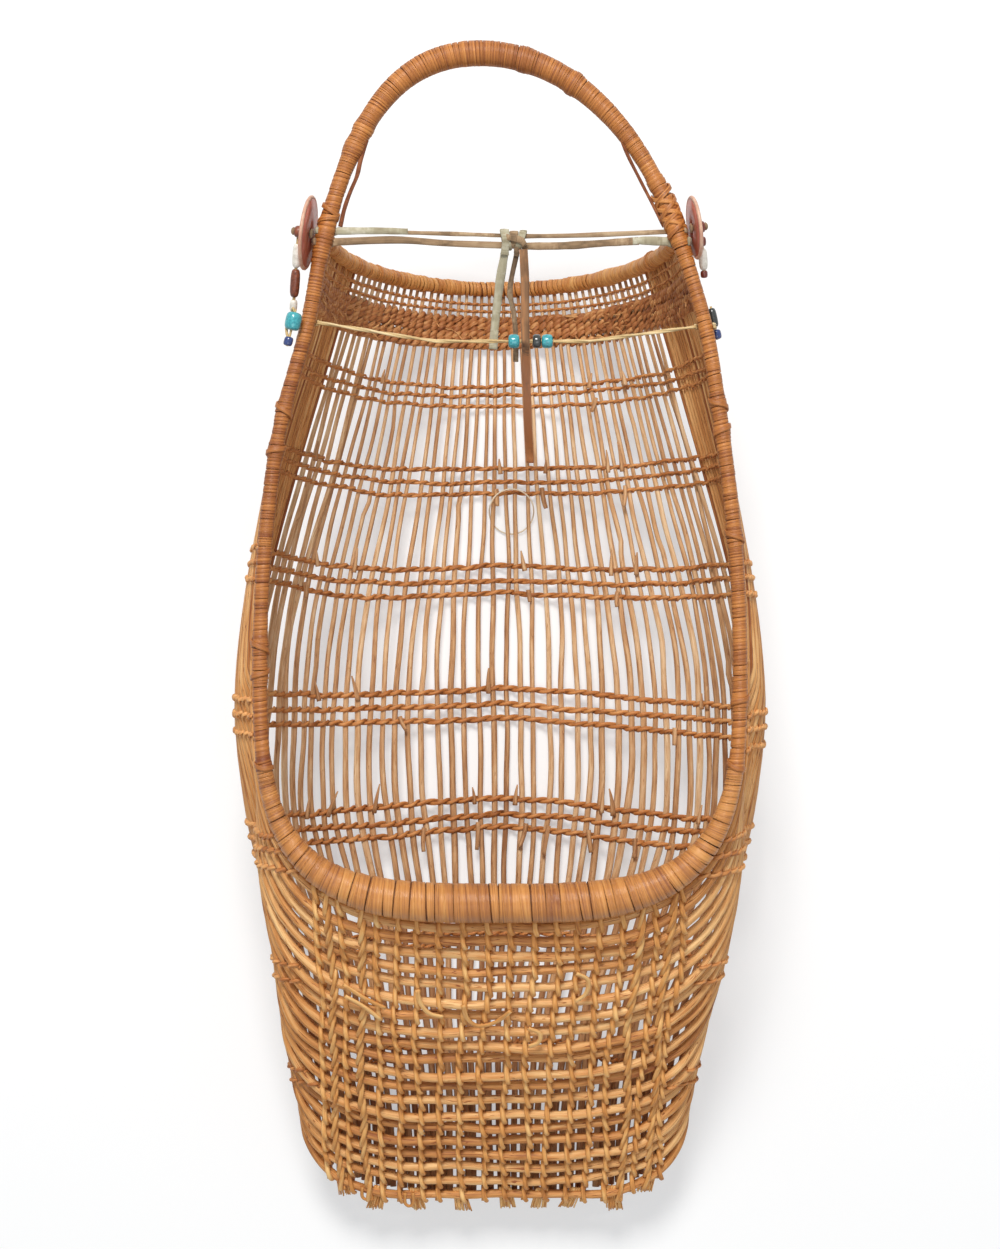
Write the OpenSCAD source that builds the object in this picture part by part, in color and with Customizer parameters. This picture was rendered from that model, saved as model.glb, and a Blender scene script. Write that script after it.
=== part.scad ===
// Slipper-shaped twined cradle basket, lying on its back, in millimetres.
// X runs across the basket, Y along it towards the handle, and Z up out of the open front.
// The origin is on the floor below the middle of the bounding box.

/* [Hull] */
// Height of the rim's centreline above the lowest rods
hull_depth = 164; // [140:1:190]
// Half width of the opening at its widest
rim_half_w = 120; // [108:1:132]
// How far the sides swell out past the rim
hull_bulge = 18.5; // [14:0.5:21]
// Distance from the widest point of the opening up to the head end
head_len = 214; // [195:1:230]
// Drawing in of each rail from the widest point to the head end
head_taper = 31.5; // [28:0.5:36]
// Distance from the widest point of the opening down to the front bar
bar_len = 120; // [110:1:130]
// Distance from the front bar down to the lowest toe rod
toe_len = 182; // [165:1:195]
// Half width of the toe at its lowest rod
toe_half_w = 107; // [98:1:112]
// Extra half width of the middle toe rods where they turn up the sides
side_swell = 4; // [0:0.5:8]
// Height of the lowest toe rod above the lowest back rods
toe_rise = 34; // [28:1:42]

/* [Rim] */
// Radius of the wrapped side rails, over their binding
rail_r = 4.6; // [4.2:0.1:5.2]
// Radius of the wrapped front bar at its middle
bar_r = 9.5; // [8:0.1:10]
// Radius of the wrapped handle at its top
handle_r = 6.4; // [5.4:0.1:7]
// Height of the handle above the head end
handle_rise = 91; // [75:1:105]
// Distance by which the top of the handle leans to the left
handle_lean = 10; // [0:1:14]
// Thickness of the root strip that binds the rim
binding_t = 0.8; // [0.6:0.1:1]
// Turns in each binding
binding_turns = 20; // [12:1:24]

/* [Rods] */
// Radius of a back rod at the toe
back_rod_r = 2.1; // [1.8:0.1:2.2]
// Radius of a back rod at the head end
back_tip_r = 1.4; // [1.2:0.1:1.5]
// Radius of a toe rod where it crosses the front
toe_rod_r = 2.6; // [2.2:0.1:2.8]
// Radius of a toe rod where it runs along the side
side_rod_r = 1.7; // [1.4:0.1:1.75]
// Number of toe rods
toe_rods = 20; // [16:1:20]
// Radius of the head end's wrapped rod, over its binding
head_rim_r = 5; // [4.4:0.1:5.4]

/* [Wefts] */
// Width of a weft strand
weft_w = 1.8; // [1.4:0.1:2]
// Thickness of a weft strand
weft_t = 1.4; // [1.1:0.1:1.6]
// Distance between the rows of one band
row_pitch = 7.6; // [6.5:0.1:8.5]
// Distance from the middle of the toe to its outermost weft column
column_half_w = 92; // [84:1:94]
// Number of weft columns on the toe
columns = 20; // [12:2:20]
// Width of the close twined band at the head end
head_band_w = 16; // [12:1:18]

/* [Ties and beads] */
// Width of the hide thong
thong_w = 4.4; // [3.6:0.1:5]
// Thickness of the hide thong
thong_t = 1.2; // [1:0.1:1.5]
// Radius of the string that carries the beads
string_r = 1.1; // [0.8:0.1:1.3]
// Outside radius of a large bead
bead_r = 3.5; // [3:0.1:4]
// Length of a turquoise bead
bead_len = 5.6; // [5:0.1:6]
// Length of the black bead
black_bead_len = 4.2; // [3.6:0.1:5]
// Radius of the left shell disc
left_disc_r = 18.5; // [15:0.5:20]
// Radius of the right shell disc
right_disc_r = 15.8; // [14:0.2:18]
// Thickness of a shell disc
disc_t = 1.8; // [1.4:0.1:2.2]
// Radius of the hide peg that a disc turns on
peg_r = 1.5; // [1.2:0.1:1.8]
// Radius of the thread in the loop at the back
thread_r = 0.4; // [0.3:0.05:0.5]

/* [Fits] */
// Clearance between pieces that lie against each other
gap = 0.35; // [0.3:0.05:0.5]
// Radial clearance of a bead or disc on what it runs on
running = 0.08; // [0.05:0.01:0.1]

/* [Hidden] */
wide_y = -1.4;
head_y = wide_y + head_len;
bar_y = wide_y - bar_len;
toe_y = bar_y - toe_len;
rod_top_y = head_y - head_rim_r - gap;
corner_power = 3.4;
bulge_y = wide_y - 43.6;
bulge_reach = 126;
upturn_len = 154;
toe_corner_len = 64;
side_turn_y = bulge_y;

// Places of the middle row of each triple band, and of the double bands inside the toe
band_y = concat([for (s = [0.285, 0.5187, 0.785]) head_y - s * head_len],
                [for (s = [0.2167, 0.7667]) wide_y - s * bar_len]);
toe_band_y = [for (s = [0.2363, 0.5824]) bar_y - s * toe_len];
head_row_y = [head_y - 8.5, head_y - 13];
head_band_y = head_y - 17 - head_band_w / 2;

// Thickness of the rods at a row, and the extra room a strand keeps where it passes rods or crosses
// them at a slant
function row_rod_r(y) = max(lerp(back_tip_r, back_rod_r, (rod_top_y - y) / (rod_top_y - toe_y)),
                            lerp(back_tip_r, side_rod_r,
                                 min(1, (rod_top_y - y) / (rod_top_y - side_turn_y))));
inner_slack = gap * [[0, 0, 0], [0, 0, 0], [0, 0, 0], [3, 3.6, 3.4], [2.2, 3, 3.6]];
outer_slack = gap * [2, 2, 2, 2.4, 2.6];
toe_slack = gap * [2.8, 2.2];

// Heights above the floor, from the lowest weft row up
rod_z = row_rod_r(band_y[4]) + gap + outer_slack[4] + weft_t;
rim_z = rod_z + hull_depth;
toe_edge_z = rod_z + toe_rise;

function toe_rod_name(i) = str("toe_rod_", i < 10 ? "0" : "", i);

rod_colour = [0.78, 0.55, 0.31];
weft_colour = [0.72, 0.46, 0.22];
binding_colour = [0.80, 0.52, 0.26];
band_colour = [0.60, 0.35, 0.18];
hide_colour = [0.62, 0.50, 0.38];
pale_hide_colour = [0.72, 0.70, 0.60];
turquoise_colour = [0.25, 0.66, 0.70];
dark_bead_colour = [0.12, 0.13, 0.15];
shell_colour = [0.66, 0.36, 0.28];
string_colour = [0.80, 0.66, 0.40];

// Small functions
function lerp(a, b, s) = a + (b - a) * s;
function smooth(s) = let (c = max(0, min(1, s))) c * c * (3 - 2 * c);
function unit(v) = v / norm(v);
function steps(n) = [for (i = [0:n]) i / n];
function tangent(path, i, closed) = let (n = len(path))
    unit(closed ? path[(i + 1) % n] - path[(i + n - 1) % n]
                : path[min(i + 1, n - 1)] - path[max(i - 1, 0)]);
function mirror_x(p) = [-p[0], p[1], p[2]];
function reverse(list) = [for (i = [len(list) - 1:-1:0]) list[i]];
function both_sides(half) = concat(reverse([for (i = [1:len(half) - 1]) mirror_x(half[i])]), half);

// Sweeping: a ring of points round each path point, then a closed skin over the rings
function round_ring(p, side, top, r, n) =
    [for (a = [0:n - 1]) p + r * (cos(360 * a / n) * side + sin(360 * a / n) * top)];
function flat_ring(p, side, top, w, t) =
    [for (c = [[1, 1], [-1, 1], [-1, -1], [1, -1]]) p + c[0] * w / 2 * side + c[1] * t / 2 * top];
function ring_side(path, i, up, closed) = unit(cross(up, tangent(path, i, closed)));
function ring_top(path, i, up, closed) = cross(tangent(path, i, closed), ring_side(path, i, up, closed));

module skin(rings, closed = false) {
    n = len(rings[0]);
    m = len(rings);
    last = closed ? m - 1 : m - 2;
    walls = [for (i = [0:last]) for (j = [0:n - 1])
        let (a = i * n + j, b = i * n + (j + 1) % n, k = ((i + 1) % m) * n, c = k + (j + 1) % n, d = k + j)
        each j < n / 2 ? [[a, d, b], [b, d, c]] : [[a, c, b], [a, d, c]]];
    far = (m - 1) * n;
    caps = closed ? [] : [for (j = [1:n - 2]) each [[0, j, j + 1], [far, far + j + 1, far + j]]];
    polyhedron([for (r = rings) each r], concat(walls, caps));
}

module rod(path, radii, up, sides = 6, closed = false) {
    skin([for (i = [0:len(path) - 1])
        round_ring(path[i], ring_side(path, i, up, closed), ring_top(path, i, up, closed), radii[i],
                   sides)], closed);
}

module strip(path, w, t, ups) {
    skin([for (i = [0:len(path) - 1])
        flat_ring(path[i], ring_side(path, i, ups[i], false), ring_top(path, i, ups[i], false), w, t)]);
}

// The point at a distance y on a path that runs steadily along Y
function at_y(path, y) = let (
        i = max([for (k = [0:len(path) - 2]) (path[k][1] - y) * (path[k + 1][1] - y) <= 0 ? k : 0]))
    lerp(path[i], path[i + 1], (y - path[i][1]) / (path[i + 1][1] - path[i][1]));

// The hull: half widths and heights at a distance y along the basket
function rail_w(y) = rim_half_w - head_taper * pow((y - wide_y) / head_len, 2);
function widest_w(y) = rail_w(y) + hull_bulge * exp(-pow((y - bulge_y) / bulge_reach, 2));
function rail_angle(y) = 180 - asin(min(1, rail_w(y) / widest_w(y)));
function section_b(y) = hull_depth / (1 - cos(rail_angle(y)));
function section(y, t) = let (a = t * rail_angle(y))
    [widest_w(y) * sin(a), y, rod_z + section_b(y) * (1 - cos(a))];

// Shares of the half section: 0 is the bottom, 1 the rail
side_arc = 0.8662 * (rim_half_w + hull_depth);
top_share = 1 - (rail_r + side_rod_r + thong_t + 3 * gap) / side_arc;
low_share = top_share - (toe_rods - 1) * (2 * side_rod_r + 1.85 * gap) / side_arc;
back_share = low_share - (side_rod_r + back_rod_r + 3 * gap) / side_arc;
head_arc = rail_w(head_y) * PI / 2;
half_rods = floor(back_share * head_arc / (2 * back_tip_r + 3.2 * gap));

// The toe: a squarish turn that each toe rod makes, from the front centre (angle 0) to the side (angle 90)
function toe_row(i) = (i - 1) / (toe_rods - 1);
function row_front_y(k) = lerp(bar_y - bar_r - toe_rod_r - gap + 1, toe_y, k);
function row_front_z(k) = lerp(rim_z - 7, toe_edge_z, k);
function row_side_w(k) = lerp(section(wide_y, top_share)[0], toe_half_w, k) + side_swell * pow(sin(180 * k), 2);
function row_turn_len(k) = lerp(bar_len + bar_r + toe_rod_r, toe_corner_len, k);
function row_turn_y(k) = row_front_y(k) + row_turn_len(k);
function row_turn_z(k) = lerp(section(wide_y, top_share)[2], toe_edge_z + 12, k);
function row_side_y(k) = lerp(wide_y + 2, side_turn_y, k);
function row_share(k) = lerp(top_share, low_share, k);
function corner(a) = pow(pow(abs(cos(a)), corner_power) + pow(abs(sin(a)), corner_power), 1 / corner_power);
function toe_turn(k, a) = [
    row_side_w(k) * sin(a) / corner(a),
    row_turn_y(k) - row_turn_len(k) * cos(a) / corner(a),
    lerp(row_front_z(k), row_turn_z(k), smooth(a / 90))];
function toe_side(k, y) = let (s = smooth((row_side_y(k) - y) / (row_side_y(k) - row_turn_y(k))),
                               p = section(row_side_y(k), row_share(k)))
    [lerp(p[0], row_side_w(k), s), y, lerp(p[2], row_turn_z(k), s)];
turn_angles = [0, 16, 30, 40, 50, 62, 90];
function toe_rod_half(k) = concat(
    [for (a = turn_angles) toe_turn(k, a)],
    [toe_side(k, lerp(row_turn_y(k), row_side_y(k), 0.5))],
    [for (f = [0, 0.33, 0.66, 1]) section(lerp(row_side_y(k), rod_top_y, f), row_share(k))]);

// Back rods: s runs from -1 to 1 across the back; in a deeper hull they fall sooner, clear of the toe rods
fall_power = 1.283 * pow(toe_len / hull_depth, 1.5);
back_rise = toe_rise - back_rod_r - toe_rod_r - gap;
function bottom_z(y) = rod_z + back_rise * pow(max(0, (toe_y + upturn_len - y) / upturn_len), 2);
function back_point(s, y) = y >= side_turn_y ? section(y, s * back_share)
    : let (edge = section(side_turn_y, back_share), a = back_share * rail_angle(side_turn_y),
           d = (side_turn_y - y) / (side_turn_y - toe_y),
           w = lerp(edge[0], toe_half_w - 3 * toe_rod_r, smooth(d)),
           h = (edge[2] - rod_z) * (1 - pow(d, fall_power)))
      [w * lerp(sin(s * a) / sin(a), s, smooth(d)), y, bottom_z(y) + h * (1 - cos(s * a)) / (1 - cos(a))];
function back_end_y(s) = let (x = abs(back_point(s, toe_y)[0]) / toe_half_w)
    row_turn_y(1) - toe_corner_len * pow(1 - pow(x, corner_power), 1 / corner_power);
function back_rod_path(s) = [for (f = [0, 0.2, 0.4, 0.6, 0.8, 1])
    back_point(s, lerp(rod_top_y, back_end_y(s), f))];

// The rim: the front bar, both rails and the handle as one closed path
function rim_front(a) = [rim_half_w * sin(a) / corner(a), wide_y - bar_len * cos(a) / corner(a), rim_z];
function rail_point(side, y) = [side * rail_w(y), y, rim_z];
function bezier(p, t) = pow(1 - t, 3) * p[0] + 3 * t * pow(1 - t, 2) * p[1]
    + 3 * t * t * (1 - t) * p[2] + pow(t, 3) * p[3];
function handle_point(side, t) = let (
        foot = rail_point(side, head_y),
        top = [-handle_lean, head_y + handle_rise, rim_z],
        slope = 2 * head_taper / head_len)
    bezier([foot, foot + handle_rise * 0.5 * [-side * slope, 1, 0],
            top + side * rail_w(head_y) * 0.55 * [1, 0, 0], top], t);

function front_radius(a) = lerp(bar_r, rail_r, smooth((abs(a) - 20) / 45));
function handle_radius(t) = lerp(rail_r, handle_r, smooth(t));
front_angles = [for (a = [0:10:90]) a];
binding_sides = 5;
widest_strip = 8;
function core_r(outer) = (outer - binding_t) * cos(180 / binding_sides) - 1.8 * gap;

rim_half = concat(
    [for (a = front_angles) [rim_front(a), front_radius(a)]],
    [for (f = [0.25, 0.5, 0.75]) [rail_point(1, lerp(wide_y, head_y, f)), rail_r]],
    [for (t = [0:0.125:0.875]) [handle_point(1, t), handle_radius(t)]]);
rim_left = concat(
    [[handle_point(-1, 1), handle_r]],
    [for (t = [0.875:-0.125:0]) [handle_point(-1, t), handle_radius(t)]],
    [for (f = [0.75, 0.5, 0.25]) [rail_point(-1, lerp(wide_y, head_y, f)), rail_r]],
    [for (a = reverse(front_angles)) if (a > 0) [mirror_x(rim_front(a)), front_radius(a)]]);
rim_path = concat(rim_half, rim_left);

module rim_hoop() {
    color(rod_colour)
    rod([for (p = rim_path) p[0]], [for (p = rim_path) core_r(p[1])], [0, 0, 1], 5, true);
}

// A strip wound round a spine: place, radius and frame come from the spine's own points
function spine_length(spine) = [for (i = 0, d = 0; i < len(spine); i = i + 1,
    d = d + (i < len(spine) ? norm(spine[i][0] - spine[i - 1][0]) : 0)) d];
function spine_at(spine, lengths, s) = let (
        d = s * lengths[len(lengths) - 1],
        i = max([for (k = [0:len(lengths) - 2]) lengths[k] <= d ? k : 0]),
        f = (d - lengths[i]) / (lengths[i + 1] - lengths[i]))
    [lerp(spine[i][0], spine[i + 1][0], f), lerp(spine[i][1], spine[i + 1][1], f),
     unit(spine[i + 1][0] - spine[i][0])];
function winding(spine, up) = let (lengths = spine_length(spine), n = binding_turns * binding_sides)
    [for (i = [0:n]) let (q = spine_at(spine, lengths, i / n),
                          side = unit(cross(up, q[2])), top = cross(q[2], side),
                          out = cos(360 * i / binding_sides) * side + sin(360 * i / binding_sides) * top)
        [q[0] + (q[1] - binding_t / 2) * out, out]];
// Least distance from a point of one turn to the line of the next, less the strip's width
function least_gap(path, w) = min([for (i = [1:len(path) - 2 - binding_sides])
    norm(cross(path[i + binding_sides] - path[i], tangent(path, i + binding_sides, false)))]) - w;

module binding(name, spine, up) {
    wound = winding(spine, up);
    path = [for (p = wound) p[0]];
    w = min(widest_strip, least_gap(path, 0) - 2 * gap);
    echo(str("least gap in ", name), least_gap(path, w), "strip width", w);
    color(binding_colour) strip(path, w, binding_t, [for (p = wound) p[1]]);
}

// Each spine runs through the hoop's own points, so that the strip lies evenly on it
bar_reach = 60;
front_spine = [for (a = [-bar_reach:10:bar_reach])
    [a < 0 ? mirror_x(rim_front(-a)) : rim_front(a), front_radius(a)]];
handle_foot = 0.07;
handle_steps = [handle_foot, 0.125, 0.25, 0.375, 0.5, 0.625, 0.75, 0.875];
handle_spine = concat(
    [for (t = handle_steps) [handle_point(1, t), handle_radius(t)]],
    [[handle_point(1, 1), handle_r]],
    [for (t = reverse(handle_steps)) [handle_point(-1, t), handle_radius(t)]]);
function rail_spine(side) = concat(
    [for (a = [bar_reach + 10:10:90]) [side > 0 ? rim_front(a) : mirror_x(rim_front(a)), front_radius(a)]],
    [for (f = [0.25, 0.5, 0.75, 1]) [rail_point(side, lerp(wide_y, head_y, f)), rail_r]]);

// The head end: a wrapped rod bent to the section, with rows of twining below it
head_rim_lift = max(0, head_rim_r + 3 * gap - rod_z);
head_rim_share = 1 - (rail_r + thong_t + head_rim_lift + 4 * gap) / side_arc;
head_steps = 13;
head_rim_path = both_sides([for (f = steps(head_steps))
    section(head_y, lerp(0, head_rim_share, f)) + [0, 0, head_rim_lift]]);
module head_rim() {
    color(rod_colour)
    rod(head_rim_path, [for (p = head_rim_path) core_r(head_rim_r)], [0, 1, 0], 5);
}
head_spine = [for (i = [1:len(head_rim_path) - 2]) [head_rim_path[i], head_rim_r]];

// Weft rows: one strand inside the rods and one outside, through the places where the row meets the rods
row_back_rods = [1, 5, 9, 13, 16, 19, 22];
row_toe_rods = [20, 17, 13, 9, 4, 1];
turn_share = 0.57;
function runs_along(k, y) = row_turn_y(k) - y < turn_share * row_turn_len(k);
function across_half(y, row_y) = concat(
    [for (i = row_back_rods) at_y(back_rod_path((min(i, half_rods) - 0.5) / half_rods), y)],
    [for (i = row_toe_rods) let (k = toe_row(min(i, toe_rods)))
        if (runs_along(k, row_y)) at_y(toe_rod_half(k), y)]);
function across(y, row_y) = let (half = across_half(y, row_y)) concat(reverse([for (q = half) mirror_x(q)]), half);
function row_normals(line) = [for (i = [0:len(line) - 1]) unit(cross(tangent(line, i, false), [0, 1, 0]))];
// A strand's section: a wedge with its edge to the rods, or a flat bar
function weft_ring(a, b, mid, near, far, flat) =
    concat([a + far, b + far], flat ? [b + near, a + near] : [mid + near]);
module weft_row(y, w = weft_w, flat = false, inner = 0, outer = 2 * gap) {
    line = across(y, y);
    low = across(y - w / 2, y);
    high = across(y + w / 2, y);
    normals = row_normals(line);
    for (s = [-1, 1]) skin([for (i = [0:len(line) - 1])
        let (n = s * normals[i], near = row_rod_r(y) + gap + (s > 0 ? inner : outer), far = near + weft_t)
        s > 0 ? weft_ring(high[i], low[i], line[i], near * n, far * n, flat)
              : weft_ring(low[i], high[i], line[i], near * n, far * n, flat)]);
}

module weft_band(i) {
    color(weft_colour)
    for (r = [-1:1])
        weft_row(band_y[i - 1] + r * row_pitch, inner = inner_slack[i - 1][r + 1], outer = outer_slack[i - 1]);
}
module toe_weft_band(i) {
    color(weft_colour)
    for (r = [-0.5, 0.5])
        weft_row(toe_band_y[i - 1] + r * row_pitch, inner = toe_slack[i - 1], outer = toe_slack[i - 1]);
}
module head_open_rows() {
    color(weft_colour)
    for (y = head_row_y) weft_row(y);
}
module head_band() {
    color(band_colour) weft_row(head_band_y, head_band_w, true);
}

// Back rods in two groups, one on each side of the middle
module back_rods(side) {
    color(rod_colour)
    for (i = [1:half_rods]) {
        path = back_rod_path(side * (i - 0.5) / half_rods);
        rod(path, [for (f = steps(len(path) - 1)) lerp(back_tip_r, back_rod_r, f)], [0, 0, 1], 5);
    }
}

module toe_rod(i) {
    half = toe_rod_half(toe_row(i));
    n = len(half) - 1;
    turn = len(turn_angles) - 1;
    radii = [for (j = [0:n]) j <= turn ? lerp(toe_rod_r, side_rod_r, smooth((j - 2) / (turn - 2)))
                                       : lerp(side_rod_r, back_tip_r, (j - turn) / (n - turn))];
    color(rod_colour)
    rod(both_sides(half), concat(reverse([for (j = [1:n]) radii[j]]), radii), [0, 0, 1], 5);
}

// Weft columns down the front of the toe, one strand in front of the rods and one behind
function at_x(path, x) = let (
        i = [for (k = [0:len(path) - 2]) if ((path[k][0] - x) * (path[k + 1][0] - x) <= 0) k][0])
    lerp(path[i], path[i + 1], (x - path[i][0]) / (path[i + 1][0] - path[i][0]));
column_rows = [1, 5, 9, 13, 17, 20];
column_rod_r = 1.08 * toe_rod_r;
column_tail = 1.5 * toe_rod_r;
function column_points(x) = [for (i = column_rows)
    let (q = at_x(toe_rod_half(toe_row(min(i, toe_rods))), abs(x))) [x, q[1], q[2]]];
function column_line(x) = let (q = column_points(x), n = len(q))
    concat(q, [q[n - 1] + column_tail * unit(q[n - 1] - q[n - 2])]);
// The columns stand closer together towards the sides
column_spread = 0.235;
function column_x(i) = let (s = 2 * (i - 1) / (columns - 1) - 1)
    column_half_w * s * (1 + column_spread * (1 - s * s));
module toe_column(i) {
    x = column_x(i);
    line = column_line(x);
    near = column_rod_r + gap;
    normals = [for (j = [0:len(line) - 1]) unit(cross(tangent(line, j, false), [1, 0, 0]))];
    side = [weft_w / 2, 0, 0];
    for (s = [-1, 1])
        skin([for (j = [0:len(line) - (s > 0 ? 1 : 2)]) let (n = s * normals[j], far = near + weft_t)
        [line[j] + far * n + s * side, line[j] + far * n - s * side, line[j] + near * n]]);
}
function braided(i) = let (d = min(i - 1, columns - i)) d == 1 || d == 3;
module toe_columns(want_braided) {
    color(weft_colour)
    for (i = [1:columns]) if (braided(i) == want_braided) toe_column(i);
}

// Flat loops of hide or string round a rail
loop_in_r = rail_r + 2.5 * gap;
loop_out_r = loop_in_r + thong_t;
module on_rail(side, y) {
    slope = side * 2 * head_taper * (y - wide_y) / pow(head_len, 2);
    translate(rail_point(side, y)) rotate([0, 0, atan(slope)]) rotate([90, 0, 0]) children();
}
// A loop passes under the rail, from its inner side round to a little above the level on its outer side
loop_rise = 45;
module rail_loop(side, y, w) {
    on_rail(side, y) rotate([0, 0, side > 0 ? 180 : 180 - loop_rise])
    rotate_extrude(angle = 180 + loop_rise, $fn = 64) translate([loop_in_r, -w / 2]) square([thong_t, w]);
}

// The thong: two strands from rail to rail, a knot between them and three loose tails
upper_thong_y = head_y + 2;
lower_thong_y = head_y - 3.6;
thong_z = rim_z + 1;
knot_r = 5.6;
knot_at = [6.5, head_y - 2.4, thong_z];
module thong_strand(side, y) {
    x0 = side * (rail_w(y) - loop_out_r - gap);
    x1 = knot_at[0] + side * (knot_r + gap);
    path = [for (f = steps(4)) [lerp(x0, x1, f), y + (y > knot_at[1] ? 0 : -1.2 * f), thong_z]];
    strip(path, thong_w, thong_t, [for (q = path) [0, 0, 1]]);
}
module thong_strands() {
    color(hide_colour)
    for (side = [-1, 1], y = [upper_thong_y, lower_thong_y]) {
        thong_strand(side, y);
        rail_loop(side, y, thong_w);
    }
}
module thong_knot() {
    color(hide_colour) translate(knot_at) sphere(r = knot_r, $fn = 64);
}
function facing(path) = [for (i = [0:len(path) - 1]) cross([1, 0, 0], tangent(path, i, false))];
module tail(route, w) {
    strip(route, w, thong_t, facing(route));
}
tail_start = knot_at + [0, -knot_r - 3 * gap, 0];
// Routes of the loose tails from the knot, each ending where the hide is cut
function below_rim(x, from_head, d) = [x, head_y - from_head, rim_z - d];
pale_route = [tail_start + [-4, 0.95, 0], below_rim(0, 22, 5), below_rim(-2, 38, 10.5), below_rim(-3, 48, 13),
              below_rim(-3.5, 55, 14.5)];
short_route = [tail_start + [2, 0.7, -1], below_rim(5, 26, 7), below_rim(7, 37, 11), below_rim(8, 50, 13.5),
               below_rim(8, 61, 17)];
long_route = [tail_start + [5.2, 1.6, 1.5], below_rim(12.5, 24, 0), below_rim(12.5, 40, 2),
              below_rim(12.7, 48, 3.4), below_rim(12.8, 53.5, 4.4), below_rim(13, 57, 10),
              below_rim(13.4, 62, 30), below_rim(14.2, 67, 66),
              below_rim(15.2, 75, 108), below_rim(16.2, 85, 142), [17, head_y - 94, rod_z + 8],
              [17.4, head_y - 100.8, rod_z + 4]];
module thong_tail_pale() { color(pale_hide_colour) tail(pale_route, thong_w); }
module thong_tail_short() { color(pale_hide_colour) tail(short_route, 0.6 * thong_w); }
module thong_tail_long() { color(hide_colour) tail(long_route, thong_w); }

// The bead string: a level middle run that the beads slide on, and a sloping run up to each rail
string_left_y = head_y - 43.5;
string_right_y = head_y - 45.5;
run_y = head_y - 52;
string_sag = 7;
run_left = [-32, run_y, rim_z - string_sag];
run_right = [45, run_y, rim_z - string_sag];
loop_w = 2 * string_r + 0.6;
module bar_between(a, b, r) {
    d = b - a;
    translate(a) rotate([0, acos(d[2] / norm(d)), atan2(d[1], d[0])]) cylinder(r = r, h = norm(d), $fn = 48);
}
module string_end(side, y, from) {
    at = rail_point(side, y);
    end = at + (loop_in_r + 0.75 * thong_t) * unit(from - at);
    bar_between(from, end, string_r);
    rail_loop(side, y, loop_w);
}
module bead_string() {
    color(string_colour) union() {
        bar_between(run_left, run_right, string_r);
        for (p = [run_left, run_right]) translate(p) sphere(r = string_r, $fn = 48);
        string_end(-1, string_left_y, run_left);
        string_end(1, string_right_y, run_right);
    }
}
left_bead_x = 7;
bead_play = 0.4;
black_bead_x = left_bead_x + 11.5;
right_bead_x = black_bead_x + (black_bead_len + bead_len) / 2 + bead_play;
module bead(x, len, r) {
    crown = 0.28 * r;
    hole = string_r + running;
    translate([x, run_left[1], run_left[2]]) rotate([0, 90, 0]) rotate_extrude($fn = 64)
    polygon([[hole, -len / 2], [r - crown, -len / 2], [r, -len / 2 + crown], [r, len / 2 - crown],
             [r - crown, len / 2], [hole, len / 2]]);
}
module bead_turquoise_left() { color(turquoise_colour) bead(left_bead_x, bead_len, bead_r); }
module bead_black() { color(dark_bead_colour) bead(black_bead_x, black_bead_len, bead_r); }
module bead_turquoise_right() { color(turquoise_colour) bead(right_bead_x, bead_len, bead_r); }

// Beads strung on a short thread: a turned outline of [distance, radius] pairs along the thread
module strung(at, along, outline) {
    d = unit(along);
    translate(at) rotate([0, acos(d[2]), atan2(d[1], d[0])]) rotate_extrude($fn = 64)
    polygon(concat([[0, outline[0][0]]], [for (q = outline) [q[1], q[0]]],
                   [[0, outline[len(outline) - 1][0]]]));
}
outer_bead_r = 3.6;
outer_bead_len = 9;
function barrel(from, len, r) = [[from, 0.7 * r], [from + 0.22 * len, r],
                                 [from + 0.78 * len, r], [from + len, 0.7 * r]];
function bead_place(side, y, r, angle) = rail_point(side, y)
    + (loop_out_r + r + gap) * [side * cos(angle), 0, sin(angle)];
module left_string_beads() {
    color(turquoise_colour)
    strung(bead_place(-1, string_left_y, outer_bead_r, 40) - 5.5 * unit([-0.22, -1, 0]), [-0.22, -1, 0],
        concat([[0, string_r]], [[1.5, string_r]], barrel(1.5, outer_bead_len, outer_bead_r),
               [[10.5, 0.6], [14, 0.6]], barrel(14, 4.4, 2.3)));
}
module right_string_beads() {
    color(dark_bead_colour)
    strung(bead_place(1, string_right_y, 2.2, 15) - 7 * unit([0.2, -1, 0]), [0.2, -1, 0],
        concat([[0, 0.6]], [[1, 0.6]], barrel(1, 9.6, 2.1), [[10.6, 0.6], [12, 0.6]], barrel(12, 4.8, 2.4)));
}

// Shell discs on hide pegs outside the rails, and the dangles on the same pegs
left_disc_y = head_y + 0.7;
right_disc_y = head_y + 3;
disc_out = 10.2;
disc_lean = -5;
disc_yaw = 8.5;
disc_up = 4.5;
collar_r = 2.4;
hub_len = 4;
knob_len = 2;
hub_from = disc_t / 2 + gap;
hub_to = hub_from + hub_len;
knob_to = hub_to + gap + knob_len;
function disc_at(side, y) = [side * (rail_w(y) + disc_out), y, rim_z + disc_up];
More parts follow.
